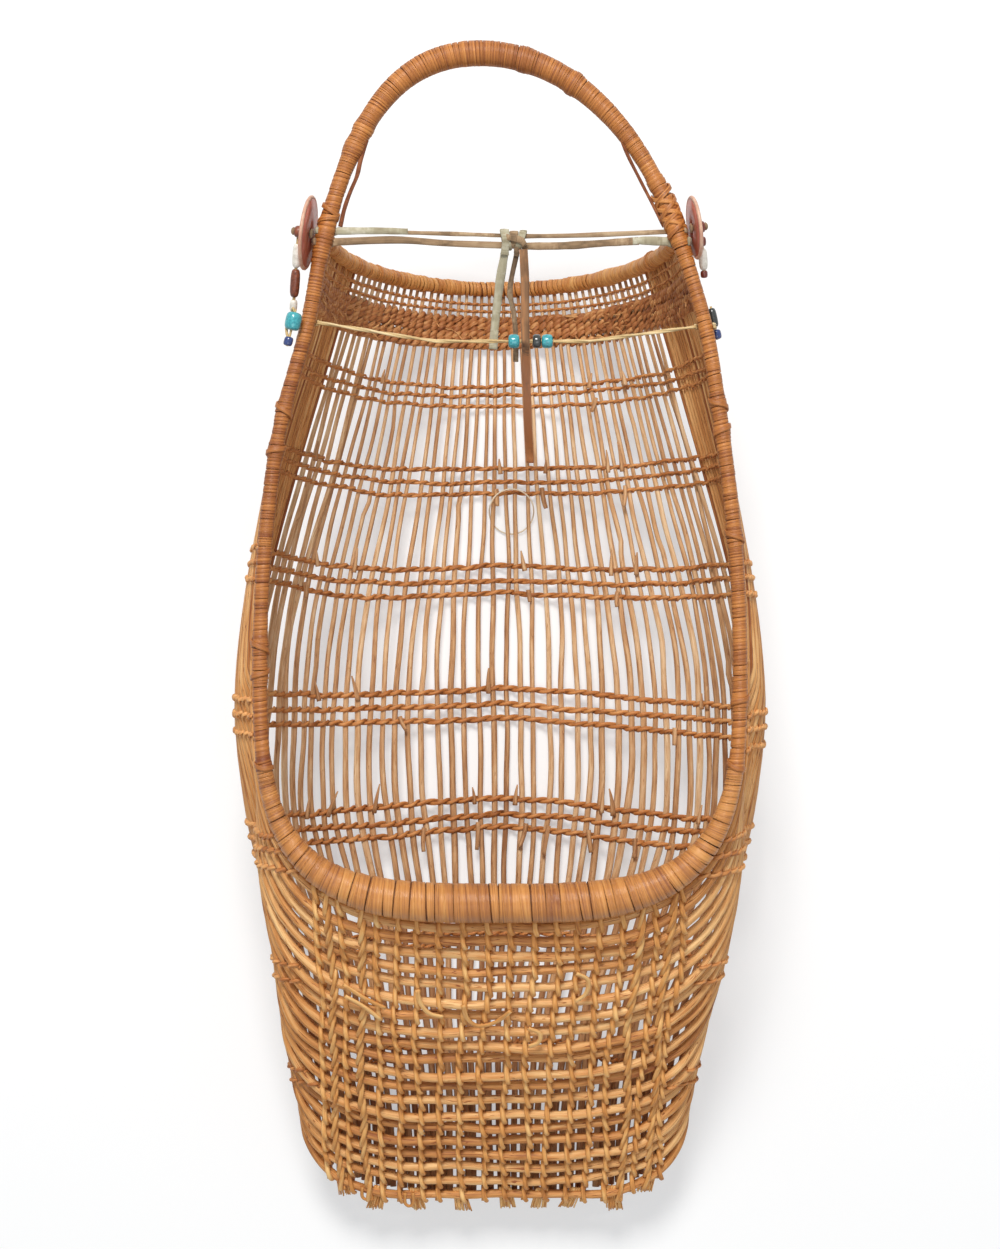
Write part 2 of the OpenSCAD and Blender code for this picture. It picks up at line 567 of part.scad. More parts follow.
// Children are drawn along +Z, which points out from the rail through the disc
module at_disc(side, y) {
    translate(disc_at(side, y)) rotate([0, 0, side > 0 ? disc_yaw : 180 - disc_yaw])
    rotate([0, 90 - disc_lean, 0]) children();
}
peg_in = disc_out - loop_out_r - 2 * gap - 0.4;
module disc_peg(side, y) {
    at_disc(side, y) rotate_extrude($fn = 64)
    polygon([[0, -peg_in], [collar_r, -peg_in], [collar_r, -disc_t / 2 - gap], [peg_r, -disc_t / 2 - gap],
             [peg_r, hub_to + gap], [collar_r, hub_to + gap], [collar_r, knob_to], [0, knob_to]]);
}
module disc(side, y, r) {
    hole = peg_r + running;
    bevel = 0.5;
    at_disc(side, y) rotate_extrude($fn = 96)
    polygon([[hole, -disc_t / 2], [r - bevel, -disc_t / 2], [r, -disc_t / 2 + bevel],
             [r, disc_t / 2 - bevel], [r - bevel, disc_t / 2], [hole, disc_t / 2]]);
}
module left_disc_peg() { color(hide_colour) disc_peg(-1, left_disc_y); }
module right_disc_peg() { color(hide_colour) disc_peg(1, right_disc_y); }
module left_disc() { color(shell_colour) disc(-1, left_disc_y, left_disc_r); }
module right_disc() { color(shell_colour) disc(1, right_disc_y, right_disc_r); }

// A dangle: a hub bead on the peg with shells and seeds strung below it, hanging at this angle below level
dangle_drop = 22;
hub_r = 3.4;
module dangle(side, y, outline) {
    at_disc(side, y) difference() {
        union() {
            translate([0, 0, hub_from]) cylinder(r = hub_r, h = hub_len, $fn = 64);
            translate([0, 0, (hub_from + hub_to) / 2])
            rotate([0, 0, side > 0 ? -90 + dangle_drop : 90 - dangle_drop])
            rotate([0, 90, 0]) rotate_extrude($fn = 64)
            polygon(concat([[0, hub_r - 0.8]], [for (q = outline) [q[1], q[0]]],
                           [[0, outline[len(outline) - 1][0]]]));
        }
        translate([0, 0, hub_from - 1]) cylinder(r = peg_r + running, h = hub_len + 2, $fn = 64);
    }
}
module left_dangle() {
    color(shell_colour)
    dangle(-1, left_disc_y, concat([[hub_r - 0.8, 0.9], [6, 0.9]], barrel(6, 12, 2), [[18, 0.9], [19, 0.9]],
        barrel(19, 14, 2), [[33, 0.9], [34.5, 0.9]], barrel(34.5, 6, 1.8)));
}
module right_dangle() {
    color(shell_colour)
    dangle(1, right_disc_y, concat([[hub_r - 0.8, 0.9], [5, 0.9]], barrel(5, 4.6, 2), [[9.6, 0.9], [11, 0.9]],
        barrel(11, 10.5, 2), [[21.5, 0.9], [22, 0.9]], barrel(22, 3.6, 1.7)));
}

// The thread loop passes above the rods and a weft row at its top, and below the rods at its bottom
loop_y = band_y[1] - 18;
function rod_x(i, y) = back_point((i - 0.5) / half_rods, y)[0];
function between_rods(i, y) = (rod_x(i, y) + rod_x(i + 1, y)) / 2;
loop_x0 = -between_rods(1, loop_y);
loop_x1 = between_rods(3, loop_y);
loop_x = (loop_x0 + loop_x1) / 2;
thread_loop_r = (loop_x1 - loop_x0) / 2;
loop_top_z = rod_z + row_rod_r(band_y[1]) + weft_t + 2 * gap + thread_r + 0.4;
loop_low_z = rod_z - back_rod_r - gap - thread_r;
function hull_rise(x, y) = section_b(y) * (1 - sqrt(1 - pow(x / widest_w(y), 2)));
cross_len = 9;
loop_points = 18;
module thread_loop() {
    path = [for (i = [0:loop_points - 1]) let (a = 360 * i / loop_points, up = thread_loop_r * sin(a))
        let (x = loop_x + thread_loop_r * cos(a))
        [x, loop_y + up,
         lerp(loop_low_z, loop_top_z, smooth(up / cross_len + 0.5)) + hull_rise(x, loop_y + up)]];
    color(pale_hide_colour) rod(path, [for (q = path) thread_r], [0, 0, 1], 5, true);
}

rim_hoop();
binding("handle_binding", handle_spine, [0, 0, 1]);  // handle_binding
binding("left_rail_binding", rail_spine(-1), [0, 0, 1]);  // left_rail_binding
binding("right_rail_binding", rail_spine(1), [0, 0, 1]);  // right_rail_binding
binding("front_bar_binding", front_spine, [0, 0, 1]);  // front_bar_binding
head_rim();
binding("head_rim_binding", head_spine, [0, 1, 0]);  // head_rim_binding
head_open_rows();
head_band();
back_rods(-1);  // back_rods_left
back_rods(1);  // back_rods_right
for (i = [1:toe_rods]) toe_rod(i);
for (i = [1:len(band_y)]) weft_band(i);
for (i = [1:len(toe_band_y)]) toe_weft_band(i);
toe_columns(false);  // toe_columns_plain
toe_columns(true);  // toe_columns_braided
thong_strands();
thong_knot();
thong_tail_pale();
thong_tail_short();
thong_tail_long();
bead_string();
bead_turquoise_left();
bead_black();
bead_turquoise_right();
left_string_beads();
right_string_beads();
left_disc_peg();
right_disc_peg();
left_disc();
right_disc();
left_dangle();
right_dangle();
thread_loop();
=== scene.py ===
import math

import bpy
import numpy as np
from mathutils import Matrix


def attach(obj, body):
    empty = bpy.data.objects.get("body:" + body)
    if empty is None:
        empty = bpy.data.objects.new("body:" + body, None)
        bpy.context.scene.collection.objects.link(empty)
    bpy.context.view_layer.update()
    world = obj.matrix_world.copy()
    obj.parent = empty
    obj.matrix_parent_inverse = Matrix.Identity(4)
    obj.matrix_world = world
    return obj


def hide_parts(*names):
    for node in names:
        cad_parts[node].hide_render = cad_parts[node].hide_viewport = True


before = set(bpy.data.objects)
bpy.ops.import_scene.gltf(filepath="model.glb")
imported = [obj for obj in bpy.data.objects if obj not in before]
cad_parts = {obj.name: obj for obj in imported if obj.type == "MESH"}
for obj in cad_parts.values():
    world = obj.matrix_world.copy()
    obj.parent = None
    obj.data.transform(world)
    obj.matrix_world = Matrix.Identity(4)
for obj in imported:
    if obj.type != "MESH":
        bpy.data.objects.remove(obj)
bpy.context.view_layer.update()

# A millimetre in metres
MM = 0.001

# Sizes in millimetres, counts and shares, as in the part's source
GAP = 0.35
HULL_DEPTH = 164.0
RIM_HALF_W = 120.0
HULL_BULGE = 18.5
HEAD_LEN = 214.0
HEAD_TAPER = 31.5
BAR_LEN = 120.0
TOE_LEN = 182.0
TOE_HALF_W = 107.0
SIDE_SWELL = 4.0
TOE_RISE = 34.0
RAIL_R = 4.6
BAR_R = 9.5
HANDLE_R = 6.4
HANDLE_RISE = 91.0
HANDLE_LEAN = 10.0
BACK_ROD_R = 2.1
BACK_TIP_R = 1.4
TOE_ROD_R = 2.6
SIDE_ROD_R = 1.7
TOE_RODS = 20
HEAD_RIM_R = 5.0
WEFT_W = 1.8
WEFT_T = 1.4
ROW_PITCH = 7.6
COLUMN_HALF_W = 92.0
COLUMN_SPREAD = 0.235
COLUMNS = 20
HEAD_BAND_W = 16.0
THONG_W = 4.4
THONG_T = 1.2
BEAD_R = 3.5
LEFT_DISC_R = 18.5
RIGHT_DISC_R = 15.8
DISC_T = 1.8

# Places and shapes that go with the sizes
WIDE_Y = -1.4
HEAD_Y = WIDE_Y + HEAD_LEN
BAR_Y = WIDE_Y - BAR_LEN
TOE_Y = BAR_Y - TOE_LEN
ROD_TOP_Y = HEAD_Y - HEAD_RIM_R - GAP
CORNER_POWER = 3.4
BULGE_Y = WIDE_Y - 43.6
BULGE_REACH = 126.0
UPTURN_LEN = 154.0
TOE_CORNER_LEN = 64.0
SIDE_TURN_Y = BULGE_Y
BAND_Y = [HEAD_Y - 61, HEAD_Y - 111, HEAD_Y - 168, WIDE_Y - 26, BAR_Y + 28]
BAND_PITCH = [5.8, 6.8, 8.0, 8.5, 8.6]
BAND_WEFT = [1.4, 1.6, 1.85, 2.1, 2.15]
TOE_BAND_Y = [BAR_Y - 43, BAR_Y - 106]
HEAD_ROW_Y = [HEAD_Y - 8.5, HEAD_Y - 13]
HEAD_BAND_Y = HEAD_Y - 17 - HEAD_BAND_W / 2

# What is seen: the solids' rim has room for its ties added, and their rods are shorter with thicker tips
RAIL_SEEN_R = 3.8
HEAD_RIM_SEEN_R = 4.3
ROD_SEEN_TOP_Y = ROD_TOP_Y + 2.4
TIP_SEEN_SHARE = 0.76

# How far the real basket is bent out of even: how much, where, and over what length
HEAD_LEAN_LEFT = 4.0
HEAD_LEAN_RIGHT = 2.2
HEAD_LEAN_Y = 168.0
HEAD_LEAN_REACH = 36.0
TOE_FULL = 3.6
TOE_FULL_Y = -105.0
TOE_FULL_REACH = 45.0
TOE_LEAN = 3.2
TOE_LEAN_Y = -150.0
TOE_LEAN_REACH = 60.0
ASIDE_FROM = 45.0
ASIDE_REACH = 45.0
HIGH_FROM = 70.0
HIGH_REACH = 90.0
LOW_FROM = 8.0
LOW_REACH = 30.0

# How far each band strays from straight towards the head, from the left rail to the right one
WAVE_X = [-125, -95, -65, -35, 0, 35, 65, 95, 125]
BAND_WAVE = [
    [2.0, 1.0, -1.8, -1.6, -0.5, -0.4, -0.9, -0.7, 0.0],
    [5.0, 0.8, -1.9, -1.3, 0.0, -0.4, -0.8, -0.7, 0.0],
    [5.0, -1.3, -2.8, -2.3, -0.5, -2.0, -4.3, -4.7, -2.5],
    [-1.7, -3.1, -2.8, -2.6, 0.2, -2.4, -4.7, -6.6, -8.0],
    [-3.5, -3.4, -2.6, -0.3, 1.8, 0.1, -3.4, -5.4, -5.0]]

# Sides and ways
SIDES = ((-1, "left"), (1, "right"))
UP_Z = np.array([0.0, 0, 1])
UP_Y = np.array([0.0, 1, 0])


def lerp(a, b, s):
    return a + (b - a) * s


def smooth(s):
    c = np.clip(s, 0, 1)
    return c * c * (3 - 2 * c)


def unit(v):
    return v / np.maximum(np.linalg.norm(v, axis=-1, keepdims=True), 1e-9)


def xyz(x, y, z):
    """Places from numbers or arrays of numbers."""
    return np.stack(np.broadcast_arrays(x, y, z), -1)


def hump(y, middle, reach):
    return np.exp(-(((y - middle) / reach) ** 2))


def draws(seed):
    return np.random.RandomState(seed)


def shares(path):
    return np.linspace(0, 1, len(path))


def row_rod_r(y):
    back = (ROD_TOP_Y - y) / (ROD_TOP_Y - TOE_Y)
    beside = min(1, (ROD_TOP_Y - y) / (ROD_TOP_Y - SIDE_TURN_Y))
    return max(lerp(BACK_TIP_R, BACK_ROD_R, back), lerp(BACK_TIP_R, SIDE_ROD_R, beside))


ROD_Z = row_rod_r(BAND_Y[4]) + GAP + 2.6 * GAP + WEFT_T
RIM_Z = ROD_Z + HULL_DEPTH
TOE_EDGE_Z = ROD_Z + TOE_RISE


# The hull
def rail_w(y):
    return RIM_HALF_W - HEAD_TAPER * ((y - WIDE_Y) / HEAD_LEN) ** 2


def widest_w(y):
    return rail_w(y) + HULL_BULGE * hump(y, BULGE_Y, BULGE_REACH)


def rail_angle(y):
    return math.pi - np.arcsin(np.minimum(1, rail_w(y) / widest_w(y)))


def section(y, share):
    """A place on the hull: share runs from 0 at the back's middle to 1 at the rail."""
    a = share * rail_angle(y)
    b = HULL_DEPTH / (1 - np.cos(rail_angle(y)))
    return xyz(widest_w(y) * np.sin(a), y, ROD_Z + b * (1 - np.cos(a)))


SIDE_ARC = 0.8662 * (RIM_HALF_W + HULL_DEPTH)
TOP_SHARE = 1 - (RAIL_R + SIDE_ROD_R + THONG_T + 3 * GAP) / SIDE_ARC
LOW_SHARE = TOP_SHARE - (TOE_RODS - 1) * (2 * SIDE_ROD_R + 1.85 * GAP) / SIDE_ARC
BACK_SHARE = LOW_SHARE - (SIDE_ROD_R + BACK_ROD_R + 3 * GAP) / SIDE_ARC
HEAD_ARC = rail_w(HEAD_Y) * math.pi / 2
HALF_RODS = int(BACK_SHARE * HEAD_ARC / (2 * BACK_TIP_R + 3.2 * GAP))


# Toe rods, from the middle of the front round to the head end
def row_front_y(k):
    return lerp(BAR_Y - BAR_R - TOE_ROD_R - GAP + 1, TOE_Y, k)


def row_turn_len(k):
    return lerp(BAR_LEN + BAR_R + TOE_ROD_R, TOE_CORNER_LEN, k)


def row_turn_y(k):
    return row_front_y(k) + row_turn_len(k)


def row_side_y(k):
    return lerp(WIDE_Y + 2, SIDE_TURN_Y, k)


def corner(a):
    return (np.abs(np.cos(a)) ** CORNER_POWER + np.abs(np.sin(a)) ** CORNER_POWER) ** (1 / CORNER_POWER)


def wobble(t, rng, size, waves=(1.5, 3.3, 6.1)):
    """A sum of waves with lengths and phases drawn by chance."""
    total = np.zeros_like(t)
    for k, wave in enumerate(waves):
        total += size / (1 + k) * np.sin(2 * math.pi * (wave * rng.uniform(0.8, 1.2) * t + rng.uniform()))
    return total


def toe_rod_half(k):
    """One half of a toe rod; k runs from 0 at the front bar to 1 at the toe's edge."""
    top = section(WIDE_Y, TOP_SHARE)
    side_w = lerp(top[0], TOE_HALF_W, k) + SIDE_SWELL * math.sin(math.pi * k) ** 2
    turn_z = lerp(top[2], TOE_EDGE_Z + 12, k)
    front_z = lerp(RIM_Z - 7, TOE_EDGE_Z, k)
    a = np.radians(np.linspace(0, 90, 46))
    turn = xyz(side_w * np.sin(a) / corner(a), row_turn_y(k) - row_turn_len(k) * np.cos(a) / corner(a),
               lerp(front_z, turn_z, smooth(a / (math.pi / 2))))
    y = np.linspace(row_turn_y(k), row_side_y(k), 14)[1:]
    s = smooth((row_side_y(k) - y) / (row_side_y(k) - row_turn_y(k)))
    p = section(row_side_y(k), lerp(TOP_SHARE, LOW_SHARE, k))
    side = xyz(lerp(p[0], side_w, s), y, lerp(p[2], turn_z, s))
    up = section(np.linspace(row_side_y(k), ROD_SEEN_TOP_Y, 24)[1:], lerp(TOP_SHARE, LOW_SHARE, k))
    return np.concatenate([turn, side, up])


def toe_rod_radius(half):
    share = lengths(half) / lengths(half)[-1]
    front = smooth((share - 0.16) / 0.2)
    slim = smooth((share - 0.45) / 0.45)
    return lerp(lerp(TOE_ROD_R, SIDE_ROD_R, front), TIP_SEEN_SHARE * BACK_TIP_R, slim)


# Back rods: s runs from -1 to 1 across the back
def back_point(s, y):
    upper = section(np.maximum(y, SIDE_TURN_Y), s * BACK_SHARE)
    edge = section(SIDE_TURN_Y, BACK_SHARE)
    a = BACK_SHARE * rail_angle(SIDE_TURN_Y)
    d = np.clip((SIDE_TURN_Y - y) / (SIDE_TURN_Y - TOE_Y), 0, 1)
    w = lerp(edge[0], TOE_HALF_W - 3 * TOE_ROD_R, smooth(d))
    h = (edge[2] - ROD_Z) * (1 - d ** 1.5)
    rise = TOE_RISE - BACK_ROD_R - TOE_ROD_R - GAP
    bottom = ROD_Z + rise * np.maximum(0, (TOE_Y + UPTURN_LEN - y) / UPTURN_LEN) ** 2
    lower = xyz(w * lerp(np.sin(s * a) / np.sin(a), s, smooth(d)), y,
                bottom + h * (1 - np.cos(s * a)) / (1 - np.cos(a)))
    return np.where((y >= SIDE_TURN_Y)[..., None], upper, lower)


def back_end_y(s):
    x = abs(back_point(s, np.array([TOE_Y]))[0, 0]) / TOE_HALF_W
    return row_turn_y(1) - TOE_CORNER_LEN * (1 - x ** CORNER_POWER) ** (1 / CORNER_POWER)


def at_y(rod, y):
    """Place and radius of a rod where it passes y."""
    rod = rod[np.argsort(rod[:, 1])]
    return np.array([np.interp(y, rod[:, 1], column) for column in rod.T])


# The rim
def rim_front(a):
    c = corner(a)
    return xyz(RIM_HALF_W * np.sin(a) / c, WIDE_Y - BAR_LEN * np.cos(a) / c, RIM_Z)


def front_radius(a):
    return lerp(BAR_R, RAIL_SEEN_R, smooth((np.degrees(np.abs(a)) - 20) / 45))


def rail_point(side, y):
    return xyz(side * rail_w(y), y, RIM_Z)


# How far the handle's curve is drawn out from foot and top, as shares of its rise and of its half width
FOOT_PULL = 0.5
TOP_PULL = 0.55


def handle_point(side, t):
    foot = rail_point(side, HEAD_Y)
    top = np.array([-HANDLE_LEAN, HEAD_Y + HANDLE_RISE, RIM_Z])
    slope = 2 * HEAD_TAPER / HEAD_LEN
    p1 = foot + HANDLE_RISE * FOOT_PULL * np.array([-side * slope, 1, 0])
    p2 = top + side * rail_w(HEAD_Y) * TOP_PULL * np.array([1, 0, 0])
    t = np.asarray(t, float)[..., None]
    return (1 - t) ** 3 * foot + 3 * t * (1 - t) ** 2 * p1 + 3 * t * t * (1 - t) * p2 + t ** 3 * top


# Interpolation of listed values at fractional places, with the ends carried on
def at(values, u):
    v = np.asarray(values, float)
    v = np.concatenate([[2 * v[0] - v[1]], v, [2 * v[-1] - v[-2]]])
    u = np.clip(np.asarray(u, float) + 1, 0.001, len(v) - 1.001)
    i = np.clip(np.floor(u).astype(int), 1, len(v) - 3)
    f = u - i
    if v.ndim > 1:
        f = f[:, None]
    a, b, c, d = v[i - 1], v[i], v[i + 1], v[i + 2]
    square, cube = 2 * a - 5 * b + 4 * c - d, 3 * b - a - 3 * c + d
    return 0.5 * (2 * b + (c - a) * f + square * f ** 2 + cube * f ** 3)


def line_through(points, per=8):
    return at(points, np.linspace(0, len(points) - 1, (len(points) - 1) * per + 1))


def lengths(path):
    return np.concatenate([[0], np.cumsum(np.linalg.norm(np.diff(path, axis=0), axis=1))])


def along(values, at_lengths, wanted):
    if values.ndim == 1:
        return np.interp(wanted, at_lengths, values)
    return np.stack([np.interp(wanted, at_lengths, column) for column in values.T], -1)


def tangents(path, closed=False):
    if closed:
        return unit(np.roll(path, -1, 0) - np.roll(path, 1, 0))
    return unit(np.gradient(path, axis=0))


def circle(sides):
    a = 2 * math.pi * np.arange(sides) / sides
    return np.cos(a), np.sin(a)


def squared(v, power):
    """Makes a wave between -1 and 1 squarer, the more so the smaller the power."""
    return np.sign(v) * np.abs(v) ** power


def uneven(p):
    """Near the head the rails lean to the right, and the toe is fuller on both sides and leans left."""
    x, y, z = p.T
    beside = smooth((np.abs(x) - ASIDE_FROM) / ASIDE_REACH)
    high = smooth((z - HIGH_FROM) / HIGH_REACH)
    low = smooth((RIM_Z - LOW_FROM - z) / LOW_REACH)
    lean = np.where(x < 0, HEAD_LEAN_LEFT, HEAD_LEAN_RIGHT)
    head = lean * hump(y, HEAD_LEAN_Y, HEAD_LEAN_REACH) * beside * high
    full = TOE_FULL * np.sign(x) * hump(y, TOE_FULL_Y, TOE_FULL_REACH) * beside * low
    toe = -TOE_LEAN * smooth((TOE_LEAN_Y - y) / TOE_LEAN_REACH)
    return p + xyz(head + full + toe, 0, 0)


# Length of a strand for one unit of its streaks
STREAK_LEN = 100

# Outline of a flat strip with softened edges, across and through it
FLAT_ACROSS = np.array([1, 0.96, 0.84, 0, -0.84, -0.96, -1, -0.96, -0.84, 0, 0.84, 0.96])
FLAT_THROUGH = np.array([0, 0.75, 1, 1, 1, 0.75, 0, -0.75, -1, -1, -1, -0.75])


class Form:
    """Gathers swept and turned surfaces into one mesh of quads."""

    def __init__(self):
        self.verts, self.faces, self.uvs, self.tones, self.mats = [], [], [], [], []
        self.count = 0

    def add(self, rings, line, tone, mat, closed):
        """Joins rings along a line by quads, with caps at the ends or the last ring joined to the first."""
        m, n, _ = rings.shape
        length = lengths(np.concatenate([line, line[:1]]) if closed else line) / STREAK_LEN
        i = np.arange(len(length) - 1)[:, None]
        j = np.arange(n)[None, :]
        ring, following, beside = i * n, (i + 1) % m * n, (j + 1) % n
        quad = np.stack([ring + j, following + j, following + beside, ring + beside], -1).reshape(-1, 4)
        u, next_u, v = np.broadcast_arrays(length[:-1, None], length[1:, None], j / n)
        uv = np.stack([u, v, next_u, v, next_u, v + 1 / n, u, v + 1 / n], -1).reshape(-1, 4, 2)
        if not closed:
            fan = np.array([[0, 2 * k + 1, 2 * k + 2, 2 * k + 3] for k in range(n // 2 - 1)])
            end = fan[:, ::-1] + (m - 1) * n
            quad = np.concatenate([quad, fan, end])
            cap_uv = np.zeros((2 * len(fan), 4, 2))
            cap_uv[:, :, 1] = np.array([0.1, 0.2, 0.3, 0.2])
            uv = np.concatenate([uv, cap_uv])
        self.verts.append(rings.reshape(-1, 3))
        self.faces.append(quad + self.count)
        self.uvs.append(uv)
        self.tones.append(np.repeat(np.broadcast_to(tone, (m,)), n))
        self.mats.append(np.full(len(quad), mat))
        self.count += m * n

    def sweep(self, path, up, half_w, half_t, sides=6, tone=0.5, mat=0, closed=False, power=1.0, flat=False):
        """A strand along a path: its thickness lies towards up, its width across."""
        path = np.asarray(path, float)
        t = tangents(path, closed)
        w = unit(np.cross(t, np.broadcast_to(up, path.shape)))
        o = np.cross(w, t)
        c, s = (FLAT_ACROSS, FLAT_THROUGH) if flat else (squared(v, power) for v in circle(sides))
        half_w, half_t = (np.broadcast_to(half, len(path))[:, None, None] for half in (half_w, half_t))
        rings = path[:, None] + w[:, None] * half_w * c[:, None] + o[:, None] * half_t * s[:, None]
        self.add(rings, path, tone, mat, closed)

    def turn(self, centre, axis, outline, sides, mat=0, closed=True):
        """A turned shape: its outline lists radii and places along the axis."""
        axis = unit(np.asarray(axis, float))
        side = unit(np.cross(axis, [0.31, 0.17, 0.93]))
        top = np.cross(axis, side)
        c, s = circle(sides)
        spoke = c[:, None] * side + s[:, None] * top
        outline = np.asarray(outline, float)
        rings = centre + outline[:, 0, None, None] * spoke[None] + outline[:, 1, None, None] * axis
        self.add(rings[::-1], outline, 0.5, mat, closed)

    def piece(self, node, kind, materials, slot, body="basket", bent=True):
        """Turns what was gathered into an object that stands for a node of the part, or for none."""
        name = f"{node}_{kind}" if node else kind
        mesh = bpy.data.meshes.new(name)
        verts = np.concatenate(self.verts)
        verts = (uneven(verts) if bent and body == "basket" else verts) * MM
        faces = np.concatenate(self.faces)
        mesh.from_pydata(verts, [], faces)
        mesh.uv_layers.new(name="along")
        mesh.uv_layers["along"].data.foreach_set("uv", np.concatenate(self.uvs).astype(np.float32).ravel())
        tone = mesh.attributes.new("tone", "FLOAT", "POINT")
        tone.data.foreach_set("value", np.concatenate(self.tones).astype(np.float32))
        mesh.polygons.foreach_set("use_smooth", np.ones(len(faces), bool))
        mesh.polygons.foreach_set("material_index", np.concatenate(self.mats).astype(np.int32))
        for m in materials:
            mesh.materials.append(m)
        mesh.update()
        obj = bpy.data.objects.new(name, mesh)
        bpy.context.scene.collection.objects.link(obj)
        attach(obj, body)
        if node:
            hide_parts(node)
        return obj


# Materials
BUMP_DEPTH = 0.3
CRACK_W = 0.012


def linear(colour):
    """A screen colour, from 0 to 255, as linear light."""
    c = np.array(colour) / 255
    return (*np.where(c <= 0.04045, c / 12.92, ((c + 0.055) / 1.055) ** 2.4), 1)


def put(tree, node, inputs):
    """Sets a node's inputs to values, or links them to other nodes' outputs."""
    for key, value in inputs.items():
        if isinstance(value, bpy.types.NodeSocket):
            tree.links.new(value, node.inputs[key])
        else:
            node.inputs[key].default_value = value


def new_node(tree, kind, inputs=None, operation=None):
    node = tree.nodes.new("ShaderNode" + kind)
    if operation:
        node.operation = operation
    put(tree, node, inputs or {})
    return node


def calc(tree, operation, a, b=0.0):
    return new_node(tree, "Math", {0: a, 1: b}, operation).outputs[0]


def ramp(tree, value, stops):
    node = new_node(tree, "ValToRGB", {0: value})
    elements = node.color_ramp.elements
    elements[0].position, elements[0].color = stops[0]
    elements[1].position, elements[1].color = stops[-1]
    for place, colour in stops[1:-1]:
        elements.new(place).color = colour
    return node.outputs[0]


def bumps(tree, height, strength):
    inputs = {"Height": height, "Strength": strength, "Distance": BUMP_DEPTH * MM}
    return new_node(tree, "Bump", inputs).outputs[0]


def new_material(name):
    mat = bpy.data.materials.new(name)
    mat.use_nodes = True
    return mat, mat.node_tree, mat.node_tree.nodes["Principled BSDF"]


def fibre(name, dark, mid, light, long, around, rough=0.55, bump=0.35, cracks=0.0, sheen=0.0, shine=0.3,
          patchy=0.6):
    """Wood, root or hide with streaks along the strand; tone shifts each strand from dark to light."""
    mat, tree, shader = new_material(name)
    uv = new_node(tree, "UVMap")
    uv.uv_map = "along"
    split = new_node(tree, "SeparateXYZ", {0: uv.outputs["UV"]})
    attribute = new_node(tree, "Attribute")
    attribute.attribute_name = "tone"
    tone = attribute.outputs["Fac"]

    def noise(along_scale, around_scale, detail, seed):
        place = new_node(tree, "CombineXYZ", {
            0: calc(tree, "MULTIPLY", split.outputs[0], along_scale),
            1: calc(tree, "MULTIPLY", split.outputs[1], around_scale),
            2: calc(tree, "MULTIPLY_ADD", tone, 13.0)})
        shift = new_node(tree, "VectorMath", {0: place.outputs[0], 1: (seed, seed * 0.7, seed * 1.3)})
        inputs = {"Vector": shift.outputs[0], "Scale": 1.0, "Detail": detail}
        return new_node(tree, "TexNoise", inputs).outputs["Fac"]

    streak = noise(long, around, 3.0, 3.1)
    fine = noise(long * 2.3, around * 4.5, 4.0, 17.7)
    patch = noise(long * 0.45, 1.5, 2.0, 41.3)
    value = tone
    for part, share in ((streak, 0.9), (fine, 0.55), (patch, patchy)):
        value = calc(tree, "ADD", value, calc(tree, "MULTIPLY", calc(tree, "SUBTRACT", part, 0.5), share))
    if cracks:
        away = calc(tree, "ABSOLUTE", calc(tree, "SUBTRACT", noise(long * 0.6, around * 1.4, 1.0, 71.9), 0.5))
        crack = calc(tree, "MULTIPLY", calc(tree, "LESS_THAN", away, CRACK_W), cracks)
        value = calc(tree, "SUBTRACT", value, crack)
    height = calc(tree, "ADD", calc(tree, "MULTIPLY", streak, 0.6), fine)
    put(tree, shader, {
        "Base Color": ramp(tree, value, [(0.12, linear(dark)), (0.5, linear(mid)), (0.9, linear(light))]),
        "Roughness": calc(tree, "ADD", calc(tree, "MULTIPLY", fine, 0.25), rough - 0.12),
        "Normal": bumps(tree, height, bump),
        "Specular IOR Level": shine,
        "Sheen Weight": sheen})
    return mat


def hide(name, dark, mid, light):
    return fibre(name, dark, mid, light, 1.5, 3, rough=0.8, bump=0.08, sheen=0.15)


def glaze(name, dark, light, rough, coat=0.0, scale=900.0):
    """Glass, shell or seed: a mottled smooth surface."""
    mat, tree, shader = new_material(name)
    place = new_node(tree, "TexCoord").outputs["Object"]
    mottle = new_node(tree, "TexNoise", {"Vector": place, "Scale": scale, "Detail": 4.0}).outputs["Fac"]
    put(tree, shader, {
        "Base Color": ramp(tree, mottle, [(0.3, linear(dark)), (0.7, linear(light))]),
        "Normal": bumps(tree, mottle, 0.05),
        "Roughness": rough,
        "Coat Weight": coat})
    return mat


rod_mat = fibre("peeled_rods", (148, 100, 64), (202, 156, 110), (236, 208, 168), 5, 5, cracks=0.25)
toe_rod_mat = fibre("peeled_toe_rods", (138, 76, 34), (206, 143, 80), (238, 194, 134), 4, 6, cracks=0.4)
weft_mat = fibre("split_root_weft", (122, 68, 32), (190, 122, 66), (224, 166, 104), 7, 4)
column_mat = fibre("split_root_columns", (150, 84, 36), (212, 148, 80), (240, 194, 128), 7, 4)
wrap_mat = fibre("split_root_wrap", (120, 58, 20), (193, 123, 58), (226, 168, 98), 1.6, 13,
                 rough=0.44, bump=0.6, shine=0.45, patchy=0.2)
bar_mat = fibre("split_root_bar", (128, 66, 24), (200, 131, 62), (232, 174, 100), 2, 26,
                rough=0.38, bump=0.9, shine=0.6, patchy=0.3)
core_mat = fibre("rim_core", (70, 36, 14), (110, 60, 26), (140, 84, 40), 5, 6)
band_mat = fibre("red_brown_weft", (104, 54, 28), (176, 112, 64), (226, 172, 112), 7, 4)
hide_mat = hide("tanned_hide", (100, 80, 58), (148, 120, 90), (182, 156, 124))
pale_hide_mat = hide("pale_hide", (136, 124, 98), (172, 164, 138), (204, 198, 178))
brown_hide_mat = hide("brown_hide", (86, 58, 38), (136, 100, 70), (200, 136, 86))
